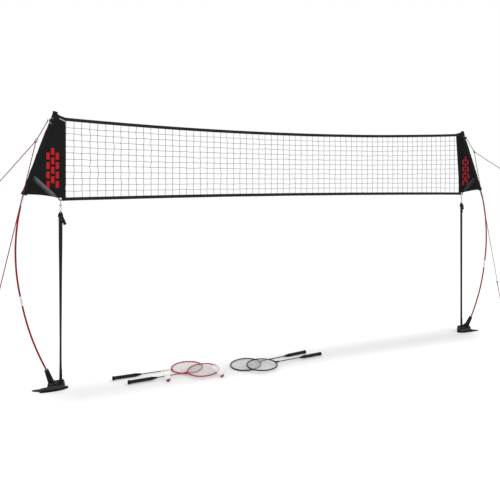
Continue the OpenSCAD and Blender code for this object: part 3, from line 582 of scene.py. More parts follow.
BOW_R = {-1: 1.300, 1: 1.200}
KINK_R, BEND_R, JOINT_Z = 0.100, 0.300, 0.521
kink_c = {s: axis_low[s] - KINK_R * out_n[s] for s in (-1, 1)}


def side_of(h):
    """Outward normal of a pole that heads h."""
    return np.array([math.cos(h), math.sin(h)])


def way(h):
    """Downward direction of a pole that heads h."""
    return np.array([math.sin(h), -math.cos(h)])


p_f = {s: kink_c[s] + KINK_R * side_of(OUT_LEAN[s]) + 0.001 * way(OUT_LEAN[s]) for s in (-1, 1)}
p_a = {s: p_f[s] + stub * way(OUT_LEAN[s]) for s in (-1, 1)}
c_a = {s: p_a[s] + stub * way(OUT_LEAN[s]) - BEND_R * side_of(OUT_LEAN[s]) for s in (-1, 1)}
c_b = {s: c_a[s] + (BEND_R - BOW_R[s]) * side_of(HEADING[s]) for s in (-1, 1)}
h_j = {s: -math.asin((c_b[s][1] - JOINT_Z - stub) / BOW_R[s]) for s in (-1, 1)}
p_j = {s: c_b[s] + BOW_R[s] * side_of(h_j[s]) + stub * way(h_j[s]) for s in (-1, 1)}
p_c = {s: p_j[s] + stub * way(h_j[s]) for s in (-1, 1)}


def mouth(s):
    return HINGE + SOCKET_L * np.array([math.sin(LEAN[s]), math.cos(LEAN[s])])


def chord_h(s, q):
    return math.atan2(p_c[s][0] - q[0], p_c[s][1] - q[1])


def end_head(s, q):
    return -(2 * chord_h(s, q) + h_j[s])


def turn_at(s, h, ref):
    """Point of the short bend above the socket where the pole heads h."""
    hs = -LEAN[s]
    k = 1 if ref > hs else -1
    return mouth(s) + k * TURN_R * (side_of(h) - side_of(hs))


def turn_from(s):
    h0 = end_head(s, mouth(s))
    h1 = end_head(s, turn_at(s, h0, h0))
    return turn_at(s, h1, h1)


tab_at = {s: axis_top[s] + 0.052 * down_d[s] for s in (-1, 1)}
tab_eye = {s: tab_at[s] + 0.0155 * out_n[s] for s in (-1, 1)}


def bend(c, r, h1, h2, n):
    return [c + r * np.array([math.cos(h1 + (h2 - h1) * i / n), math.sin(h1 + (h2 - h1) * i / n)]) for i in range(n + 1)]


def top_at(x):
    return 1.550 - 0.041 * (1 - (x / NET_HALF) ** 2)


def bottom_at(x):
    return 1.090 + 0.010 * (1 - (x / NET_HALF) ** 2)


KNOT = {s: at(s, 0.155, 1.423) for s in (-1, 1)}
EYE = {s: at(s, tab_eye[s][0], tab_eye[s][1]) for s in (-1, 1)}
ENDS = {
    "left_front": (-1, np.array([-1.830, -0.525, 0.0025])),
    "right_back": (1, np.array([2.600, 0.700, 0.0025])),
    "left_back": (-1, np.array([-1.856, 0.274, 1.134])),
    "right_front": (1, np.array([1.765, -0.116, 1.245])),
}


def unit(v):
    v = np.asarray(v, float)
    return v / np.linalg.norm(v)


def line_points(p, q, n=25, sag=0.0):
    t = np.linspace(0, 1, n)
    pts = p + t[:, None] * (q - p)
    pts[:, 2] -= 4 * sag * t * (1 - t)
    return pts


# ---------------------------------------------------------------- cords
CORD_R = 0.00225
GROUND = ("left_front", "right_back")


def circle(c, e, f, r, n=36, full=2 * math.pi):
    """Points of a circle in the plane of e and f."""
    return np.array([c + r * (math.cos(full * i / n) * e + math.sin(full * i / n) * f) for i in range(n)])


def loop_round(b, c, e, f, r, tube=0.0015):
    """One turn of cord round a bar at c."""
    sweep(b, circle(c, e, f, r, 30), tube, 10, closed=True, first=np.cross(e, f))


def knot_on(b, c, d, side, size=1.0, seed=1):
    """Overhand knot: two crossed turns on the line, and a lump within them."""
    up = np.cross(d, side)
    lump(b, c, (0.0050 * size, 0.0030 * size, 0.0030 * size), np.stack([d, side, up]), 8, 14, 0.06, seed)
    for k, tip in ((-1, 0.55), (1, -0.55)):
        f = unit(side * math.cos(tip) + d * math.sin(tip))
        loop_round(b, c + k * 0.0013 * size * d, f, up, 0.0027 * size, 0.0013 * size)


Y = np.array([0, 1.0, 0])
bridles = {}
for s, nm in ((-1, "left"), (1, "right")):
    d = unit(KNOT[s] - EYE[s])
    pts = line_points(EYE[s] + 0.0050 * d, KNOT[s] - 0.0098 * d, 16, 0.0004)
    b = Build()
    sweep(b, pts, CORD_R, 14, first=(0, 1, 0))
    o = b.make(nm + "_bridle_cord", M["cord"], slot="guy_cord", replaces=nm + "_guy_bridle")
    # moulded ring where the three cords meet, each cord tied on it
    b = Build()
    sweep(b, circle(KNOT[s], np.array([1.0, 0, 0]), np.array([0, 0, 1.0]), 0.0060, 48), 0.0016, 16, closed=True, first=(0, 1, 0))
    ring = b.make(nm + "_meeting_ring", M["black"], slot="black_plastic", replaces="guy_junction_rings", smooth=180)
    b = Build()
    for e in [EYE[s]] + [end for q, end in ENDS.values() if q == s]:
        dd = unit(e - KNOT[s])
        flat = unit(dd - (dd @ Y) * Y)
        loop_round(b, KNOT[s] + 0.0060 * flat, flat, Y, 0.0031)
        knot_on(b, KNOT[s] + 0.0118 * dd, dd, unit(np.cross(dd, [0.3, 0.1, 1.0])), 1.0, 3)
    knot_on(b, EYE[s] + 0.0120 * d, d, Y, 0.95, 4)
    ties = b.make(nm + "_meeting_knots", M["cord"], slot="guy_cord", smooth=180)
    bridles[s] = (ring, ties)
    tuple(pts[0])

AIR_AXIS = {"left_back": np.array([0.656317, 0.754484, 0.0]), "right_front": np.array([-0.659104, -0.752054, 0.0])}
for nm, (s, end) in ENDS.items():
    k = KNOT[s]
    d = unit(end - k)
    ground = nm in GROUND
    flat = unit(d - (d @ Y) * Y)
    start = k + 0.0082 * d
    if ground:
        e = unit(d * np.array([1, 1, 0]))
        rim = end + np.array([0, 0, 0.0024])
        centre = (rim + end + 0.021 * e) / 2
        along, across = unit(centre - rim), np.cross(e, [0, 0, 1.0])
    else:
        e = d
        centre = end
        along, across = d, unit(np.cross(AIR_AXIS[nm], d))
        rim = centre - 0.0105 * d
    bar_up = unit(np.cross(across, along))
    n = 33 if ground else 18
    pts = line_points(start, (end if ground else rim) - 0.0055 * d, n, 0.0 if ground else 0.0006)
    b = Build()
    sweep(b, pts, CORD_R, 14, first=(0, 1, 0))
    o = b.make(nm + "_line", M["cord"], slot="guy_cord", replaces=nm + "_guy")
    b = Build()
    sweep(b, circle(centre, along, across, 0.0105, 56), 0.0023, 16, closed=True, first=bar_up)
    ring = b.make(nm + "_end_ring", M["nickel"], slot="bright_metal", replaces="guy_end_rings", smooth=180)
    b = Build()
    loop_round(b, rim, along, bar_up, 0.0036, 0.0013)
    knot_on(b, (end + np.array([0, 0, 0.0008]) if ground else rim) - 0.0092 * d, d, across, 1.05, 7)
    ties = b.make(nm + "_end_knot", M["cord"], slot="guy_cord", smooth=180)
    pieces = [ring, ties]
    if ground:
        # tensioner: the cord comes back from the ring and ends in a stop knot above the slider's second hole
        side = "left" if s < 0 else "right"
        body = side + "_slider"
        up = -d
        th, ph = math.acos(up[2]), math.atan2(up[1], up[0])
        lx = np.array([math.cos(th) * math.cos(ph), math.cos(th) * math.sin(ph), -math.sin(th)])
        run = [end + up * q + lx * w for q, w in ((0.010, 0.0036), (0.030, 0.0044), (0.070, 0.0062), (0.130, 0.0088), (0.200, 0.0118), (0.244, 0.0136), (0.256, 0.0140), (0.262, 0.0140), (0.272, 0.0140))]
        b = Build()
        sweep(b, run, CORD_R * 0.95, 12, first=(0, 1, 0))
        back = b.make(nm + "_return", M["cord"], body=None, slot="guy_cord", smooth=180)
        tuple(run[0])
        tuple(run[5])
        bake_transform(back)
        b = Build()
        knot_on(b, end + up * 0.2725 + lx * 0.0140, up, unit(np.cross(up, lx)), 1.15, 9)
        stop = b.make(nm + "_stop_knot", M["cord"], body=body, slot="guy_cord", smooth=180)
        pieces += [back, stop]
    tuple(pts[0])

# ---------------------------------------------------------------- netting
COLS, ROWS = 65, 12
TW = 0.00118


def net_grid():
    g = random.Random(21)
    P = np.zeros((COLS + 1, ROWS + 1, 3))
    for i in range(COLS + 1):
        x = -NET_HALF + 2 * NET_HALF * i / COLS
        lo, hi = bottom_at(x) + 0.0085, top_at(x) - 0.0085
        for j in range(ROWS + 1):
            z = lo + (hi - lo) * j / ROWS
            dx = dz = dy = 0.0
            if 0 < i < COLS and 0 < j < ROWS:
                dx, dz, dy = g.gauss(0, 0.0009) + 0.0010 * (-1) ** j, g.gauss(0, 0.0011), g.gauss(0, 0.0008)
            elif 0 < i < COLS:
                dx = g.gauss(0, 0.0006)
            P[i, j] = (x + dx, NET_Y + dy, z + dz)
    return P


def through(points, per, g, slack, off):
    """Points on a soft line through the knots, with a little slack between them."""
    out = []
    for a, c in zip(points[:-1], points[1:]):
        bow = np.array([g.gauss(0, slack), g.gauss(0, slack * 0.6), g.gauss(0, slack)])
        for q in range(per):
            t = q / per
            out.append(a + (c - a) * t + bow * math.sin(math.pi * t) + off)
    out.append(points[-1] + off)
    return np.array(out)


P = net_grid()
g = random.Random(5)
net = Build()
for i in range(COLS + 1):
    col = P[i].copy()
    if i in (0, COLS):
        col[:, 0] *= 1 - 0.0006
    sweep(net, through(col, 4, g, 0.0009, np.array([0, -0.0006, 0])), TW, 6, first=(1, 0, 0), caps=True)
for j in range(1, ROWS):
    row = P[:, j].copy()
    sweep(net, through(row, 4, g, 0.0007, np.array([0, 0.0006, 0])), TW, 6, first=(0, 1, 0), caps=True)
for i in range(COLS + 1):
    for j in range(1, ROWS):
        a = math.radians(45 + g.uniform(-12, 12))
        ax = np.array([[math.cos(a), 0, math.sin(a)], [0, 1, 0], [-math.sin(a), 0, math.cos(a)]])
        lump(net, P[i, j], (0.0027, 0.0020, 0.0020), ax, 4, 7, 0.3, i * 13 + j)
net.make("netting", M["twine"], slot="mesh_twine", replaces="net_mesh", smooth=180)


# ---------------------------------------------------------------- tapes
def tape(name, nodename, mid, open_up, stitches):
    """Cloth band folded round the net's edge, with its slit towards the netting, and two rows of stitches."""
    h, t, slit = 0.0095, 0.0016, 0.0009
    prof = []
    for k in range(9):
        w = math.pi * k / 8
        prof.append((t * math.cos(w), h - t + t * math.sin(w)))
    prof += [(-t, z) for z in (0.004, 0.0, -0.004, -0.0078)]
    prof += [(-t * 0.9, -h), (-slit, -h), (-slit * 0.7, -h + 0.006), (slit * 0.7, -h + 0.006), (slit, -h), (t * 0.9, -h)]
    prof += [(t, z) for z in (-0.0078, -0.004, 0.0, 0.004)]
    g = random.Random(len(name))
    n = 221
    xs = np.linspace(-NET_HALF - 0.004, NET_HALF + 0.004, n)
    wob = np.convolve([g.gauss(0, 0.0022) for _ in range(n + 20)], np.ones(21) / 21, "valid")
    puck = np.convolve([g.gauss(0, 0.0018) for _ in range(n + 8)], np.ones(9) / 9, "valid")
    rings = []
    for x, w, pk in zip(xs, wob, puck):
        for y, z in prof:
            yy, zz = (y, z) if not open_up else (-y, -z)
            roll = pk * (zz / h)
            rings.append((x, NET_Y + yy * (1 + 0.10 * math.sin(x * 210)) + roll * 0.5, mid(x) + zz + w * 0.5))
    b = Build()
    f, uv = ring_faces(n, len(prof), False, True, xs - xs[0])
    b.add(rings, f, uv)
    o = b.make(name, M["tape"], slot="tape_cloth", replaces=nodename, smooth=50)
    step, long = 0.0058, 0.0043
    for rowz in (-0.0066, 0.0064):
        x = -NET_HALF + 0.004
        while x < NET_HALF - 0.008:
            i = int((x + NET_HALF + 0.004) / (2 * NET_HALF + 0.008) * (n - 1))
            zz = rowz if not open_up else -rowz
            z = mid(x) + zz + wob[i] * 0.5
            rl = puck[i] * (zz / h) * 0.5
            for sgn in (-1, 1):
                y = NET_Y + sgn * (t * (1 + 0.10 * math.sin(x * 210)) + 0.00005) + rl
                pts = [(x, y - sgn * 0.0003, z), (x + long * 0.2, y + sgn * 0.0002, z), (x + long * 0.8, y + sgn * 0.0002, z), (x + long, y - sgn * 0.0003, z)]
                sweep(stitches, pts, 0.00032, 5, first=(0, 0, 1))
            x += step


stitches = Build()
tape("top_band", "top_tape", top_at, False, stitches)
tape("bottom_band", "bottom_tape", bottom_at, True, stitches)
stitches.make("band_stitching", M["stitch"], slot="tape_cloth", smooth=180)


# ---------------------------------------------------------------- end panels
CORNER_Z = 1.092 - 0.013


def hem(o):
    return CORNER_Z + (1.124 - CORNER_Z) * math.sqrt(math.sin(math.radians(90 * max(0, o - 0.020) / (0.226 - 0.020))))


def inner_o(s, z):
    """The right panel's inner edge leans over the net's end towards the top."""
    return -0.0265 * min(1.0, max(0.0, (z - 1.210) / (1.5595 - 1.210))) if s > 0 else 0.0


def panel_mesh(s, nm):
    nu, nv = 56, 120
    tail = axis_low[s] - 0.006 * out_n[s], axis_top[s] - 0.006 * out_n[s]

    def low(u):
        if u < 0.05:
            o = 0.008 * u / 0.05
            return np.array([o, 1.0805 - 0.0005 * u / 0.05])
        o = 0.008 + (tail[0][0] - 0.008) * (u - 0.05) / 0.95
        return np.array([o, hem(o) if o > 0.02 else CORNER_Z + 0.001])

    def high(u):
        a, c = np.array([inner_o(s, 1.5595), 1.5595]), np.array([0.45 * TIP[s][0], 1.5705])
        return a + (c - a) * u * 2 if u < 0.5 else c + (tail[1] - c) * (u - 0.5) * 2

    def inner(v):
        q = 1.0805 + (1.5595 - 1.0805) * v
        return np.array([inner_o(s, q), q])

    def outer(v):
        return tail[0] + (tail[1] - tail[0]) * v

    U, V = np.linspace(0, 1, nu), np.linspace(0, 1, nv)
    flat = np.zeros((nv, nu, 2))
    for j, v in enumerate(V):
        for i, u in enumerate(U):
            c = (1 - v) * low(u) + v * high(u) + (1 - u) * inner(v) + u * outer(v)
            c -= (1 - u) * (1 - v) * low(0) + u * (1 - v) * low(1) + (1 - u) * v * high(0) + u * v * high(1)
            flat[j, i] = c
    o, z = flat[..., 0], flat[..., 1]
    # distance from the edges keeps the folds off the seams
    lowz = np.array([low(u)[1] for u in U])[None, :]
    d_low = np.clip(z - lowz, 0, None)
    d_in = np.clip(o - np.vectorize(lambda q: inner_o(s, q))(z), 0, None)
    edge = smoothstep(d_in, 0.0, 0.03) * smoothstep(1 - U, 0, 0.10)[None, :]
    # crease from the grommet corner up to the sleeve: the cloth below it bellies forward
    a, c = np.array([0.030, 1.0935]), np.array([0.160, 1.2239])
    along = unit(c - a)
    nrm = np.array([-along[1], along[0]])
    dist = (o - a[0]) * nrm[0] + (z - a[1]) * nrm[1]
    run = (o - a[0]) * along[0] + (z - a[1]) * along[1]
    here = smoothstep(run, 0.0, 0.035) * (1 - smoothstep(run, 0.15, 0.21))
    y = 0.0095 * np.exp(-(np.clip(dist, 0, None) / 0.020) ** 2) * here * (dist > 0)
    y = y + np.where(dist <= 0, 0.0095 - 0.021 * smoothstep(-dist, 0, 0.034), 0) * here
    # softer pulls fanning out from the same corner and from the top
    for ang, amp, wid in ((74, 0.0032, 0.016), (60, -0.0034, 0.018), (86, -0.0020, 0.012)):
        q = np.array([math.cos(math.radians(ang)), math.sin(math.radians(ang))])
        m = np.array([-q[1], q[0]])
        dd = (o - 0.027) * m[0] + (z - 1.092) * m[1]
        rr = (o - 0.027) * q[0] + (z - 1.092) * q[1]
        y = y + amp * np.exp(-(dd / (wid * (0.5 + 2.2 * np.clip(rr, 0, 0.6)))) ** 2) * smoothstep(rr, 0.02, 0.12) * (1 - smoothstep(rr, 0.28, 0.46))
    g = random.Random(31 + s)
    for _ in range(9):
        zc, wd, am = g.uniform(1.16, 1.54), g.uniform(0.010, 0.026), g.uniform(-0.0014, 0.0014)
        y = y + am * np.exp(-((z - zc + 0.25 * o) / wd) ** 2) * smoothstep(U, 0.35, 0.95)[None, :]
    y = y * edge * smoothstep(1 - V, 0, 0.06)[:, None]
    # hems stand proud
    lo_h = smoothstep(0.014 - d_low, 0, 0.0012)
    in_h = smoothstep(0.012 - d_in, 0, 0.0012)
    topz = np.array([high(u)[1] for u in U])[None, :]
    to_h = smoothstep(0.019 - (topz - z), 0, 0.0012)
    thick = 0.00055 + 0.00055 * np.maximum(np.maximum(lo_h, in_h), 1.2 * to_h)
    # the net's end lies between the hem's two layers
    thick = np.maximum(thick, 0.0021 * (1 - smoothstep(o, -0.002, 0.004)) * (z > 1.210) * (1 - smoothstep(z, 1.529, 1.535)) * (s > 0))
    # hole under the grommet: whole cells come out, their rim is drawn to a circle
    mid_o, mid_z = [(q[:-1, :-1] + q[1:, :-1] + q[:-1, 1:] + q[1:, 1:]) / 4 for q in (o, z)]
    cut = np.hypot(mid_o - 0.027, mid_z - 1.092) < 0.0080
    rim_in = np.zeros((nv, nu), int)
    for dj in (0, 1):
        for di in (0, 1):
            rim_in[dj:nv - 1 + dj, di:nu - 1 + di] += cut
    on_rim = (rim_in > 0) & (rim_in < 4)
    rad = np.hypot(o - 0.027, z - 1.092)
    o = np.where(on_rim, 0.027 + (o - 0.027) * 0.0086 / np.maximum(rad, 1e-6), o)
    z = np.where(on_rim, 1.092 + (z - 1.092) * 0.0086 / np.maximum(rad, 1e-6), z)
    b = Build()
    verts, uvs = [], []
    for sgn in (-1, 1):
        for j in range(nv):
            for i in range(nu):
                verts.append(at(s, o[j, i], z[j, i], y[j, i] + sgn * thick[j, i]))
    N = nu * nv
    faces, uv = [], []

    def quad(p, q, r, t):
        faces.append((p, q, r, t))
        for w in (p, q, r, t):
            w %= N
            uv.append((o.ravel()[w], z.ravel()[w]))

    for j in range(nv - 1):
        for i in range(nu - 1):
            k = j * nu + i
            if not cut[j, i]:
                quad(k, k + 1, k + 1 + nu, k + nu)
                quad(N + k, N + k + nu, N + k + 1 + nu, N + k + 1)
                continue
            for dj, di, p, q in ((-1, 0, k + 1, k), (0, 1, k + 1 + nu, k + 1), (1, 0, k + nu, k + 1 + nu), (0, -1, k, k + nu)):
                if not cut[j + dj, i + di]:
                    quad(p, N + p, N + q, q)
    rim = [i for i in range(nu)] + [j * nu + nu - 1 for j in range(1, nv)] + [(nv - 1) * nu + i for i in range(nu - 2, -1, -1)] + [j * nu for j in range(nv - 2, 0, -1)]
    for p, q in zip(rim, rim[1:] + rim[:1]):
        quad(p, N + p, N + q, q)
    b.add(verts, faces, uv)
    ob = b.make(nm + "_panel_cloth", M["panel_l" if s < 0 else "panel_r"], slot="panel_cloth", replaces=nm + "_end_panel", smooth=60)
    for j in range(nv - 1):
        for i in range(nu - 1):
            p, q, r = flat[j, i], flat[j, i + 1], flat[j + 1, i]

    def on(oo, zz, front):
        """Surface point nearest to (oo, zz)."""
        w = np.argmin((o - oo) ** 2 + (z - zz) ** 2)
        j, i = divmod(int(w), nu)
        return at(s, oo, zz, y[j, i] + (-1 if front else 1) * (thick[j, i] + 0.00006))

    return on, low, high, tail


def run_stitches(b, line, on, step=0.0052, long=0.0038, r=0.0003):
    line = np.array(line)
    d = lengths(line)
    n = int(d[-1] / step)
    for k in range(n):
        p, q = [np.array([np.interp(x, d, line[:, c]) for c in (0, 1)]) for x in (k * step, k * step + long)]
        for front in (True, False):
            sweep(b, [on(p[0], p[1], front), on(*(p + (q - p) * 0.5), front), on(q[0], q[1], front)], r, 5, first=(0, 1, 0))


for s, nm in ((-1, "left"), (1, "right")):
    on, low, high, tail = panel_mesh(s, nm)
    st = Build()
    run_stitches(st, [low(u) + np.array([0, 0.0115]) for u in np.linspace(0.06, 0.97, 60)], on)
    run_stitches(st, [(inner_o(s, z) + 0.0095, z) for z in np.linspace(1.096, 1.548, 40)], on)
    run_stitches(st, [high(u) - np.array([0, 0.0165]) for u in np.linspace(0.05, 0.95, 12)], on)
    # sleeve: cloth turned round the pole and sewn back on the panel
    n, k = 130, 26
    g = random.Random(77 + s)
    ripple = np.convolve([g.gauss(0, 0.0016) for _ in range(n + 6)], np.ones(7) / 7, "valid")
    rings, dist = [], np.concatenate([np.linspace(-0.006, -0.0016, 9), np.linspace(0.0010, sleeve_l[s] + 0.004, n - 9)])
    for q, (d, rp) in enumerate(zip(dist, ripple)):
        c = axis_top[s] + d * down_d[s]
        rise = float(np.clip((d + 0.006) / 0.0042, 0, 1))
        close = math.sqrt(rise * (2 - rise))
        r = 0.0079 * (0.04 + 0.96 * close) + rp * 0.70 * close
        r += 0.0018 * close * float(1 - smoothstep(d, 0.010, 0.026))
        # drawn in under the guy tab
        r -= 0.0013 * math.exp(-((d - 0.052) / 0.010) ** 2)
        mouth_lip = 0.0006 * float(smoothstep(d, sleeve_l[s] - 0.014, sleeve_l[s] - 0.012)) + 0.0012 * float(smoothstep(d, sleeve_l[s] - 0.030, sleeve_l[s] + 0.004))
        r += mouth_lip
        for i in range(k):
            w = 2 * math.pi * i / k
            e, f = math.cos(w), math.sin(w)
            if e < -0.55:
                # the two layers close on the panel
                t = (-0.55 - e) / 0.45
                oo, yy = -0.55 * r - t * (0.0175 - 0.55 * r), math.copysign(1, f) * (0.0017 + (0.835 * r - 0.0017) * (1 - t) ** 1.7)
                if abs(f) < 1e-6:
                    yy = 0.0
            else:
                oo, yy = e * r, f * r
                if e > 0:
                    oo += 0.0030 * e * float(smoothstep(d, 0.076, 0.130)) + 0.0024 * e ** 1.5 * float(smoothstep(d, sleeve_l[s] - 0.050, sleeve_l[s] + 0.004))
            yy += 0.0005 * math.sin(d * 190 + 3 * w) * (0.5 + 0.5 * e)
            pt = c + oo * out_n[s]
            rings.append(at(s, pt[0], pt[1], yy))
    # the cloth's inner face, back from the mouth to the closed tip
    outer = np.array(rings).reshape(n, k, 3)
    axis = np.array([at(s, *(axis_top[s] + d * down_d[s])) for d in dist])[:, None, :]
    inner = axis + (outer - axis) * 0.90
    shell = np.concatenate([outer, inner[::-1]])
    b = Build()
    f, uv = ring_faces(2 * n, k, True, False, np.concatenate([dist, dist[::-1]]))
    b.add(shell.reshape(-1, 3), f, uv)
    sl = b.make(nm + "_pole_sleeve", M["sleeve"], slot="panel_cloth", smooth=70)
    for d in np.arange(0.012, sleeve_l[s] - 0.008, 0.0052):
        for off in (-0.0145,):
            for front in (-1, 1):
                p, q = axis_top[s] + d * down_d[s] + off * out_n[s], axis_top[s] + (d + 0.0038) * down_d[s] + off * out_n[s]
                yy = front * 0.00215
                sweep(st, [at(s, p[0], p[1], yy - front * 0.0003), at(s, *((p + q) / 2), yy + front * 0.0002), at(s, q[0], q[1], yy - front * 0.0003)], 0.0003, 5, first=(0, 1, 0))
    st.make(nm + "_panel_stitching", M["stitch"], slot="panel_cloth", smooth=180)

# ---------------------------------------------------------------- grommets, tabs
b = Build()
for s in (-1, 1):
    c = at(s, 0.027, 1.092)
    prof = []
    for k in range(13):
        w = math.pi * (0.5 - k / 12)
        prof.append((0.0102 + 0.0019 * math.sin(math.pi * k / 12 + math.pi) * -1 if False else 0.0102 + 0.0019 * math.cos(w + math.pi) * -1, -0.0012 - 0.0011 * math.cos(w)))
    ringp = [(0.0119, -0.0010), (0.0117, -0.0018), (0.0108, -0.0023), (0.0094, -0.0024), (0.0080, -0.0022), (0.0068, -0.0016), (0.0061, -0.0006),
             (0.0061, 0.0006), (0.0068, 0.0016), (0.0080, 0.0020), (0.0100, 0.0021), (0.0116, 0.0018), (0.0119, 0.0010), (0.0082, 0.0009), (0.0082, -0.0009)]
    lathe(b, c, (0, 1, 0), ringp + ringp[:1], 48, caps=False)
bm_g = b.make("eyelets", M["eyelet"], slot="bright_metal", replaces="corner_grommets", smooth=50)

b = Build()
for s in (-1, 1):
    # webbing wound round the sleeve
    ringp = []
    for d, r in ((-0.0071, 0.0081), (-0.0070, 0.0094), (-0.0064, 0.0099), (-0.004, 0.00995), (0, 0.0100), (0.004, 0.00995), (0.0064, 0.0099), (0.0070, 0.0094), (0.0071, 0.0081)):
        ringp.append((r, d))
    ax = np.array([s * down_d[s][0], 0, down_d[s][1]])
    lathe(b, at(s, *tab_at[s]), ax, ringp, 40, caps=False)
    # loop for the bridle
    pts = []
    base_c = tab_eye[s]
    for k in range(29):
        w = math.radians(-160 + 320 * k / 28)
        q = base_c + 0.0050 * (math.cos(w) * out_n[s] + math.sin(w) * down_d[s])
        pts.append(at(s, q[0], q[1]))
    first = at(s, *(tab_at[s] + 0.0096 * out_n[s] + -0.0016 * down_d[s]))
    last = at(s, *(tab_at[s] + 0.0096 * out_n[s] + 0.0016 * down_d[s]))
    pts = [first] + pts + [last]
    w2, t2 = 0.0045, 0.0006
    prof = [(-w2, -t2 * 0.6), (-w2 + 0.0006, -t2), (0, -t2), (w2 - 0.0006, -t2), (w2, -t2 * 0.6), (w2, t2 * 0.6), (w2 - 0.0006, t2), (0, t2), (-w2 + 0.0006, t2), (-w2, t2 * 0.6)]
    sweep(b, pts, None, prof=prof, first=(0, 1, 0))
b.make("sleeve_tabs", M["webbing"], slot="webbing", replaces="guy_tabs", smooth=50)

# pale cord turns that hold the tab on the sleeve
b = Build()
for s in (-1, 1):
    for d, tip in ((0.036, 0.10), (0.0405, 0.05), (0.066, -0.06), (0.0705, -0.10)):
        c = axis_top[s] + d * down_d[s]
        e = np.array([s * out_n[s][0], 0, out_n[s][1]]) + tip * np.array([s * down_d[s][0], 0, down_d[s][1]])
        pts = [at(s, *c) + 0.0088 * (math.cos(w) * e + math.sin(w) * np.array([0, 1.0, 0])) for w in np.linspace(0, 2 * math.pi, 36, endpoint=False)]
        sweep(b, pts, 0.0011, 8, closed=True, first=(s * down_d[s][0], 0, down_d[s][1]))
b.make("tab_lashing", M["loop"], slot="guy_cord", smooth=180)

# ---------------------------------------------------------------- poles
for s, nm in ((-1, "left"), (1, "right")):
    up = [axis_top[s] + 0.012 * down_d[s] + t * (axis_low[s] - axis_top[s] - 0.012 * down_d[s]) for t in np.linspace(0, 0.98, 12)]
    up += bend(kink_c[s], KINK_R, lean[s], OUT_LEAN[s], 10) + [p_f[s], p_a[s] - 0.0001 * way(OUT_LEAN[s])]
    mid = [p_a[s], p_a[s] + 0.5 * stub * way(OUT_LEAN[s])] + bend(c_a[s], BEND_R, OUT_LEAN[s], HEADING[s], 8)
    mid += bend(c_b[s], BOW_R[s], HEADING[s], h_j[s], 48)[1:] + [p_j[s]]
    q0, hs = turn_from(s), -LEAN[s]
    h0 = end_head(s, q0)
    r0 = float(np.linalg.norm(p_c[s] - q0)) / (2 * math.sin(chord_h(s, q0) + h_j[s]))
    c0 = p_c[s] - r0 * side_of(h_j[s])
    sd = way(hs)
    low_ = [p_j[s], p_j[s] + stub * way(h_j[s]) * 0.5] + bend(c0, r0, h_j[s], h0, 40)
    low_ += [turn_at(s, h0 + (hs - h0) * i / 10, h0) for i in range(1, 11)] + [mouth(s) + 0.030 * sd, mouth(s) + 0.064 * sd]
    for tag, path, mat, slot, r in (("upper", up, "grey_rod", "ferrule_metal", 0.00475), ("middle", mid, "red_rod", "pole_red", 0.0050), ("lower", low_, "red_rod", "pole_red", 0.0050)):
        b = Build()
        sweep(b, [at(s, q[0], q[1]) for q in path], r, 24, first=(0, 1, 0))
        b.make(f"{nm}_rod_{tag}", M[mat + "_r" if s > 0 and tag != "lower" else mat], slot=slot, replaces=f"{nm}_pole_{tag}", smooth=60)

b, dull = Build(), Build()
for s in (-1, 1):
    for start, d in ((p_f[s], way(OUT_LEAN[s])), (p_j[s] - (stub - 0.0002) * way(h_j[s]), way(h_j[s]))):
        L = 2 * stub - 0.0004
        prof = [(0.0049, 0.0), (0.0058, 0.0), (0.0061, 0.0004), (0.0061, 0.0035)]
        for g0 in (0.0060, L - 0.0085):
            prof += [(0.0061, g0), (0.0057, g0 + 0.0006), (0.0056, g0 + 0.0012), (0.0057, g0 + 0.0018), (0.0061, g0 + 0.0024)]
            if g0 < L / 2:
                prof += [(0.0061, L * 0.3), (0.0061, L * 0.5), (0.0061, L * 0.7)]
        prof += [(0.0061, L - 0.0004), (0.0058, L), (0.0049, L)]
        lathe(dull if s > 0 and start is p_f[s] else b, at(s, *start), np.array([s * d[0], 0, d[1]]), prof + prof[:1], 32, caps=False)
b.make("ferrule_tubes", M["ferrule"], slot="ferrule_metal", replaces="pole_ferrules", smooth=40)
dull.make("ferrule_tube_right_top", M["grey_rod_r"], slot="ferrule_metal", smooth=40)

# thin metal rims on the mouths of the pole sockets
b = Build()
for s in (-1, 1):
    prof = [(0.0050, 0.0002), (0.0084, 0.0002), (0.0088, 0.0006), (0.0088, 0.0020), (0.0084, 0.0025), (0.0056, 0.0025), (0.0050, 0.0020)]
    up = np.array([s * math.sin(LEAN[s]), 0, math.cos(LEAN[s])])
    lathe(b, at(s, *mouth(s)), up, prof + prof[:1], 36, caps=False)
b.make("socket_rims", M["ferrule"], slot="ferrule_metal", smooth=40)

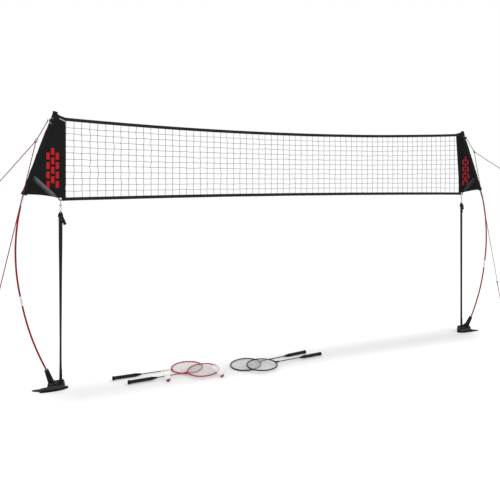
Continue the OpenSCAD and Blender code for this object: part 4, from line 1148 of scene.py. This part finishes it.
# ---------------------------------------------------------------- straps
PIN_Z, FOLD_Z = 0.0355, 1.0015
TWIST = {
    -1: ([0.0, 0.0375, 0.0475, 0.096, 0.17, 0.28, 0.40, 0.51, 0.70, 0.90, 0.975, 1.1], [0, 0, 46, 53, 61, 63, 58, 53, 43, 17, 0, 0]),
    1: ([0.0, 0.0375, 0.0475, 0.096, 0.142, 0.28, 0.51, 0.74, 0.94, 0.975, 1.1], [0, 0, 2, 4, 5, 6, 5, 3, 1, 0, 0]),
}
for s, nm in ((-1, "left"), (1, "right")):
    W, T = 0.0105, 0.0008
    X = np.array([1.0, 0, 0])
    cx = s * (NET_HALF + 0.027)
    main_y = NET_Y + 0.0013

    def twist(z):
        return math.radians(float(np.interp(z, *TWIST[s])))

    # sewn-down end, round the pin, then up to the buckle
    pts, turn = [], []
    for z in np.linspace(0.108, PIN_Z + 0.005, 18):
        w = twist(z)
        lay = -0.0019 - 0.0030 * float(smoothstep(PIN_Z + 0.021 - z, 0, 0.016))
        pts.append((cx - lay * math.sin(w), main_y + lay * math.cos(w), z))
        turn.append(-w)
    for k in range(1, 12):
        w = math.pi + math.pi * k / 12
        pts.append((cx, NET_Y - 0.0001 + 0.0040 * math.cos(w), PIN_Z + 0.0040 * math.sin(w)))
        turn.append(0.0)
    for z in np.concatenate([np.linspace(PIN_Z + 0.002, 0.0555, 8), np.linspace(0.060, 0.12, 16), np.linspace(0.13, 0.95, 84), np.linspace(0.955, FOLD_Z, 14)]):
        pts.append((cx, main_y + 0.0026 * float(smoothstep(PIN_Z + 0.011 - z, 0, 0.010)), z))
        turn.append(twist(z))
    n_up = len(pts)
    for k in range(1, 10):
        w = math.pi * (1 - k / 9)
        pts.append((cx, main_y + 0.0037 + 0.0037 * math.cos(w), FOLD_Z + 0.0034 * math.sin(w)))
        turn.append(0.0)
    tail = math.radians(22 if s < 0 else 17)
    for k in range(1, 27):
        d = 0.0025 * k
        curl = 0.000012 * max(0, k - 8) ** 2
        pts.append((cx + d * math.sin(tail), main_y + 0.0074 + curl, FOLD_Z - d * math.cos(tail)))
        turn.append(0.0)
    pts, turn = np.array(pts), np.array(turn)
    W_at = np.where(np.arange(len(pts)) < n_up + 4, W, 0.0085)
    t = np.gradient(pts, axis=0)
    t /= np.linalg.norm(t, axis=1)[:, None]
    nn = X - (t @ X)[:, None] * t
    nn /= np.linalg.norm(nn, axis=1)[:, None]
    cc = np.cross(t, nn)
    w = turn[:, None]
    n2, c2 = nn * np.cos(w) + cc * np.sin(w), cc * np.cos(w) - nn * np.sin(w)
    pr = np.array([(-1, -0.4), (-0.955, -1), (-0.5, -1.05), (0, -1.08), (0.5, -1.05), (0.955, -1), (1, -0.4), (1, 0.4), (0.955, 1), (0.5, 1.05), (0, 1.08), (-0.5, 1.05), (-0.955, 1), (-1, 0.4)])
    ring = pts[:, None, :] + W_at[:, None, None] * pr[None, :, :1] * n2[:, None, :] + T * pr[None, :, 1:] * c2[:, None, :]
    b = Build()
    f, uv = ring_faces(len(pts), len(pr), False, True, lengths(pts))
    b.add(ring.reshape(-1, 3), f, uv)
    b.make(nm + "_strap_webbing", M["webbing"], slot="webbing", replaces=nm + "_tension_strap", smooth=50)


# ---------------------------------------------------------------- loops between hook and buckle
EYE_Z = 1.0560
b = Build()
for s in (-1, 1):
    c = np.array([s * (NET_HALF + 0.027), NET_Y, 0])
    lo, hi, r = 0.992 + 0.025, EYE_Z - 0.006, 0.0050
    for k, mi in ((-1, 1), (1, 0)):
        pts = []
        for w in np.linspace(0, math.pi / 2, 7):
            pts.append(c + np.array([0, k * r * math.sin(w), lo - r * math.cos(w)]))
        for u in np.linspace(0, 1, 25)[1:-1]:
            th = math.radians(k * 90 + 180 * float(smoothstep(u, 0, 1)))
            pts.append(c + np.array([r * math.cos(th), r * math.sin(th), lo + (hi - lo) * u]))
        for w in np.linspace(math.pi / 2, 0, 7):
            pts.append(c + np.array([0, -k * r * math.sin(w), hi + r * math.cos(w)]))
        sweep(b, pts, 0.00135, 12, first=(1, 0, 0), mi=mi)
b.make("hook_loop_cords", [M["loop"], M["loop_b"]], slot="guy_cord", replaces="hook_loops", smooth=180)


# ---------------------------------------------------------------- rackets
HEAD_A, HEAD_B, HOOP_R = 0.098, 0.0905, 0.0045
HEAD_X = 0.560 - HOOP_R - HEAD_A
THROAT_X = HEAD_X - HEAD_A
GRIP_L, CONE_L = 0.136, 0.038
LAID = {
    "red_rear": ((-1.1748, 0.0115), 3.2, 0.0128, 0.0070),
    "red_front": ((-1.0913, -0.0720), 1.5, 0.0122, 0.0177),
    "black_rear": ((0.1037, 0.0072), 186.3, 0.0128, 0.0070),
    "black_front": ((0.1891, -0.0553), 187.5, 0.0122, 0.0216),
}


def laid(name):
    (x, y), yaw, z0, z1 = LAID[name]
    tilt = math.asin((z0 - z1) / HEAD_X)
    return Matrix.Translation((x, y + NET_Y, z0)) @ Matrix.Rotation(math.radians(yaw), 4, "Z") @ Matrix.Rotation(tilt, 4, "Y")


def moved(b, m):
    a = np.array(m)
    v = np.array(b.v) @ a[:3, :3].T + a[:3, 3]
    b.v = [tuple(p) for p in v]
    return b


def oval(w, grow=0.0):
    return np.array([HEAD_X + (HEAD_A + grow) * math.cos(w), (HEAD_B + grow) * math.sin(w), 0.0])


for name in LAID:
    colour = "racket_red" if name.startswith("red") else "racket_black"
    body = name + "_racket"
    mx = laid(name)
    # hoop: flattened tube with a shallow string groove outside
    pts = np.array([oval(2 * math.pi * i / 144) for i in range(144)])
    prof = []
    for k in range(20):
        w = 2 * math.pi * k / 20
        e, f = math.cos(w), math.sin(w)
        px = math.copysign(abs(e) ** 0.8, e) * 0.0039
        pz = math.copysign(abs(f) ** 0.75, f) * 0.0037
        if abs(f) < 0.25:
            px *= 0.86
        prof.append((px, pz))
    b = Build()
    sweep(b, pts, None, prof=prof, closed=True, first=(1, 0, 0))
    # throat: sleeve that opens into two arms on the hoop
    arm = np.array([oval(math.pi + math.radians(a)) for a in np.linspace(-13, 13, 25)])
    rr = 0.0046 + 0.0010 * np.sin(np.linspace(0, math.pi, 25)) ** 0.5
    sweep(b, arm, rr, 18, first=(0, 0, 1))
    lathe(b, (THROAT_X - 0.025, 0, 0), (1, 0, 0), [(0.0037, 0), (0.0050, 0.0001), (0.0054, 0.0012), (0.0055, 0.004), (0.0055, 0.012), (0.0058, 0.017), (0.0060, 0.021), (0.0056, 0.0245)], 32)
    o = moved(b, mx).make(name + "_hoop", M[colour], body, colour, 45, name + "_frame")
    # strings: mains along x, crosses along y, woven over and under
    ns, nc = 20, 21
    inner_a, inner_b = HEAD_A - 0.0037, HEAD_B - 0.0037
    ys = np.linspace(-1, 1, ns) * (inner_b - 0.0085)
    xs = np.linspace(-1, 1, nc) * (inner_a - 0.0085)
    sb, gb = Build(), Build()

    def string(fixed, others, across, parity):
        half = (inner_a * math.sqrt(1 - (fixed / inner_b) ** 2)) if not across else (inner_b * math.sqrt(1 - (fixed / inner_a) ** 2))
        q = [(-half - 0.0006, 0.0)]
        for i, c in enumerate(others):
            if abs(c) < half - 0.001:
                q.append((c, (1 if (i + parity) % 2 else -1) * 0.00042))
        q.append((half + 0.0006, 0.0))
        out = []
        for (a, za), (c, zc) in zip(q[:-1], q[1:]):
            out += [(a, za), ((a + c) / 2, (za + zc) / 2)]
        out.append(q[-1])
        line = [(HEAD_X + a, fixed, z) if not across else (HEAD_X + fixed, a, -z) for a, z in out]
        sweep(sb, line, 0.00056, 6, first=(0, 0, 1))
        for e in (0, -1):
            p = np.array(line[e])
            d = unit(np.array(line[e]) - np.array(line[e + 1 if e == 0 else e - 1]))
            lathe(gb, p - 0.0016 * d, d, [(0.00055, 0.0), (0.0011, 0.0002), (0.0013, 0.0010), (0.0013, 0.0022)], 8)

    for i, yv in enumerate(ys):
        string(float(yv), xs, False, i)
    for i, xv in enumerate(xs):
        string(float(xv), ys, True, i)
    moved(sb, mx).make(name + "_string_bed", M["string_pale" if name.startswith("black") else "string"], body, "racket_string", 180, name + "_strings")
    moved(gb, mx).make(name + "_string_eyelets", M["black"], body, "grip_wrap", 60)
    # shaft
    b = Build()
    sweep(b, [(x, 0, 0) for x in np.linspace(GRIP_L - 0.026, THROAT_X - 0.010, 14)], 0.0031, 20, first=(0, 1, 0))
    moved(b, mx).make(name + "_stem", M["stem_red" if colour == "racket_red" else colour], body, colour, 60, name + "_shaft")
    # grip: strip wound on an eight-sided handle, moulded cone and butt cap
    b = Build()
    n, k = 150, 40
    pitch = 0.017
    rings, vv = [], np.linspace(0.0125, GRIP_L + 0.001, n)
    for d in vv:
        for i in range(k):
            w = 2 * math.pi * i / k
            a = (w + math.pi / 8) % (math.pi / 4) - math.pi / 8
            octo = 0.0094 / math.cos(a)
            r = min(octo, 0.0099)
            ph = (d / pitch - i / k) % 1.0
            r += 0.00055 * (1 - ph) - 0.0003 + (0.0009 * math.exp(-((d - 0.0125) / 0.004) ** 2))
            rings.append((d, r * math.cos(w), r * math.sin(w)))
    f, uv = ring_faces(n, k, False, True, vv)
    b.add(rings, f, uv)
    lathe(b, (0, 0, 0), (1, 0, 0), [(0.0, 0.0004), (0.0058, 0.0), (0.0090, 0.0004), (0.0105, 0.0017), (0.0113, 0.0042), (0.0116, 0.0080), (0.0113, 0.0110), (0.0107, 0.0133), (0.0096, 0.0152)], 40, mi=1)
    cone = [(0.0102, -0.0015), (0.01025, 0.0005), (0.0099, 0.0022), (0.0094, 0.004), (0.0085, 0.010), (0.0073, 0.018), (0.0061, 0.026), (0.0051, 0.033), (0.0045, 0.0368), (0.0042, 0.0378), (0.0033, 0.0380)]
    lathe(b, (GRIP_L, 0, 0), (1, 0, 0), cone, 40, mi=1)
    moved(b, mx).make(name + "_handle", [M["grip"], M["black"]], body, "grip_wrap", 35, name + "_grip")


# ---------------------------------------------------------------- shuttlecocks
for name, p, yaw, rise in (("one", (-0.860, -0.111), 97, 38), ("two", (-0.542, -0.158), 112, 42.5)):
    mx = Matrix.Translation((p[0], p[1] + NET_Y, 0.0134)) @ Matrix.Rotation(math.radians(yaw), 4, "Z") @ Matrix.Rotation(math.radians(90 - rise), 4, "Y")
    body = "shuttle_" + name
    b = Build()
    dome = [(0.013 * math.sin(math.radians(a)), -0.013 * math.cos(math.radians(a))) for a in np.linspace(0, 74, 13)]
    dome[0] = (0.0002, -0.013)
    rim = dome[-1]
    lathe(b, (0, 0, 0), (0, 0, 1), dome + [(rim[0] - 0.0007, rim[1] + 0.0001)], 40)
    collar = [(0.013 * math.sin(math.radians(a)), -0.013 * math.cos(math.radians(a))) for a in np.linspace(74, 90, 5)]
    collar = [(collar[0][0] - 0.0007, collar[0][1] + 0.0001)] + [(r - 0.00015, z) for r, z in collar]
    lathe(b, (0, 0, 0), (0, 0, 1), collar + [(0.0129, 0.0098), (0.0128, 0.0108), (0.0120, 0.0110), (0.0095, 0.0110), (0.0090, 0.0100), (0.0090, 0.0062), (0.0002, 0.0060)], 40, mi=1, caps=False)
    moved(b, mx).make(f"shuttle_{name}_tip", [M["cork"], M["cork_band"]], body, "cork_red", 40, f"shuttle_{name}_cork")
    b = Build()
    # collar, sixteen stems, hoops and a fine lattice towards the open end
    lathe(b, (0, 0, 0), (0, 0, 1), [(0.0060, 0.0064), (0.0087, 0.0064), (0.0087, 0.0112), (0.0122, 0.0113), (0.0128, 0.0122), (0.0128, 0.0150), (0.0120, 0.0152), (0.0112, 0.0128), (0.0060, 0.0124), (0.0060, 0.0064)], 36, caps=False)

    def rad(z):
        t = (z - 0.011) / 0.060
        return 0.0120 + (0.0316 - 0.0120) * t ** 0.94

    for k in range(16):
        w = 2 * math.pi * k / 16
        zs = np.linspace(0.0125, 0.0706, 14)
        pts = [(rad(z) * math.cos(w), rad(z) * math.sin(w), z) for z in zs]
        sweep(b, pts, np.linspace(0.00085, 0.00050, 14), 6, first=(-math.sin(w), math.cos(w), 0))
    for z, r in ((0.020, 0.0005), (0.0265, 0.0005), (0.033, 0.0006), (0.0385, 0.00045), (0.044, 0.00045), (0.0495, 0.00045), (0.055, 0.00045), (0.0605, 0.00045), (0.066, 0.00045), (0.0705, 0.0006)):
        sweep(b, [(rad(z) * math.cos(w), rad(z) * math.sin(w), z) for w in np.linspace(0, 2 * math.pi, 64, endpoint=False)], r, 5, closed=True, first=(0, 0, 1))
    for k in range(48):
        if k % 3 == 0:
            continue
        w = 2 * math.pi * k / 48
        zs = np.linspace(0.033, 0.0706, 9)
        sweep(b, [(rad(z) * math.cos(w), rad(z) * math.sin(w), z) for z in zs], 0.0003, 4, first=(-math.sin(w), math.cos(w), 0))
    moved(b, mx).make(f"shuttle_{name}_feathers", M["skirt"], body, "skirt_white", 60, f"shuttle_{name}_skirt")


# ---------------------------------------------------------------- carried-over CAD nodes
def dress(nodename, material, bevel=0.0, angle=32):
    o = NODE[nodename]
    o.data.materials.clear()
    o.data.materials.append(material)
    o.data.polygons.foreach_set("material_index", np.zeros(len(o.data.polygons), np.int32))
    w = o.modifiers.new("weld", "WELD")
    w.merge_threshold = 0.00001
    if bevel:
        v = o.modifiers.new("round", "BEVEL")
        v.width = bevel
        v.segments = 2
        v.limit_method = "ANGLE"
        v.angle_limit = math.radians(angle)
        v.harden_normals = False
        v.use_clamp_overlap = True


for nm in ("left", "right"):
    dress(nm + "_base_foot", M["base"], 0.0008)
    dress(nm + "_base_housing", M["ribbed"], 0.0006)
    dress(nm + "_buckle_lever", M["lever"], 0.0003)
    dress(nm + "_guy_slider", M["black"], 0.0005)
dress("buckle_frames", M["black"], 0.0003)
dress("buckle_pins", M["steel"], 0.0002)
dress("base_screws", M["dark_screw"], 0.0002)
dress("strap_anchor_pins", M["steel"], 0.0003)
dress("strap_hooks", M["hook"])
dress("pole_sockets", M["base"], 0.0006)
dress("pole_tip_caps", M["black"], 0.0004)

# ---------------------------------------------------------------- stage
def flat_mat(name, color, glow):
    m, nt, p = new_mat(name, color, 0.9)
    p.inputs["Specular IOR Level"].default_value = 0.0
    p.inputs["Emission Color"].default_value = (1, 1, 1, 1)
    p.inputs["Emission Strength"].default_value = glow
    return m


FLOOR_GLOW = 0.21
fl = Build()
fl.add([(-40, -40, -0.0004), (40, -40, -0.0004), (40, 40, -0.0004), (-40, 40, -0.0004)], [(0, 1, 2, 3)])
white = flat_mat("floor_white", (0.80, 0.80, 0.80), FLOOR_GLOW)
# soft shade under the net, a little deeper towards its right end
nt = white.node_tree
obj = coords(nt)
fx, fy = axis_of(nt, obj, 0), axis_of(nt, obj, 1)
off = maths(nt, "DIVIDE", maths(nt, "SUBTRACT", fy, level(nt, fx, -1.3, 0.3, -0.055, 0.0)), 0.175)
shade = maths(nt, "POWER", 2.718, maths(nt, "MULTIPLY", maths(nt, "MULTIPLY", off, off), -1.0))
shade = maths(nt, "MULTIPLY", shade, maths(nt, "MULTIPLY", level(nt, fx, -1.72, -1.35), level(nt, fx, 1.72, 1.40)))
shade = maths(nt, "MULTIPLY", shade, level(nt, fx, -1.4, 1.3, 0.255, 0.325))
keep = maths(nt, "SUBTRACT", 1.0, shade)
nt.links.new(maths(nt, "MULTIPLY", keep, FLOOR_GLOW), nt.nodes["Principled BSDF"].inputs["Emission Strength"])
nt.links.new(mix(nt, keep, (0.0, 0.0, 0.0), (0.80, 0.80, 0.80)), nt.nodes["Principled BSDF"].inputs["Base Color"])
floor = fl.make("floor", white, body=None, smooth=None)

world = bpy.data.worlds.new("studio")
world.use_nodes = True
bg = world.node_tree.nodes["Background"]
bg.inputs["Color"].default_value = (1, 1, 1, 1)
bg.inputs["Strength"].default_value = 1.0
bpy.context.scene.world = world


def area_light(name, loc, target, size, power):
    d = bpy.data.lights.new(name, "AREA")
    d.shape = "DISK"
    d.size = size
    d.energy = power
    o = bpy.data.objects.new(name, d)
    bpy.context.scene.collection.objects.link(o)
    o.location = loc
    o.rotation_euler = (Vector(target) - Vector(loc)).to_track_quat("-Z", "Y").to_euler()
    return o


area_light("key", (-2.6, -4.2, 4.6), (0, 0, 0.8), 2.2, 120)
area_light("fill", (3.6, -3.0, 3.4), (0.4, 0, 0.8), 2.6, 50)

sc = bpy.context.scene
sc.view_settings.view_transform = "Standard"
sc.view_settings.look = "None"
sc.view_settings.exposure = 0.0
sc.view_settings.gamma = 1.0
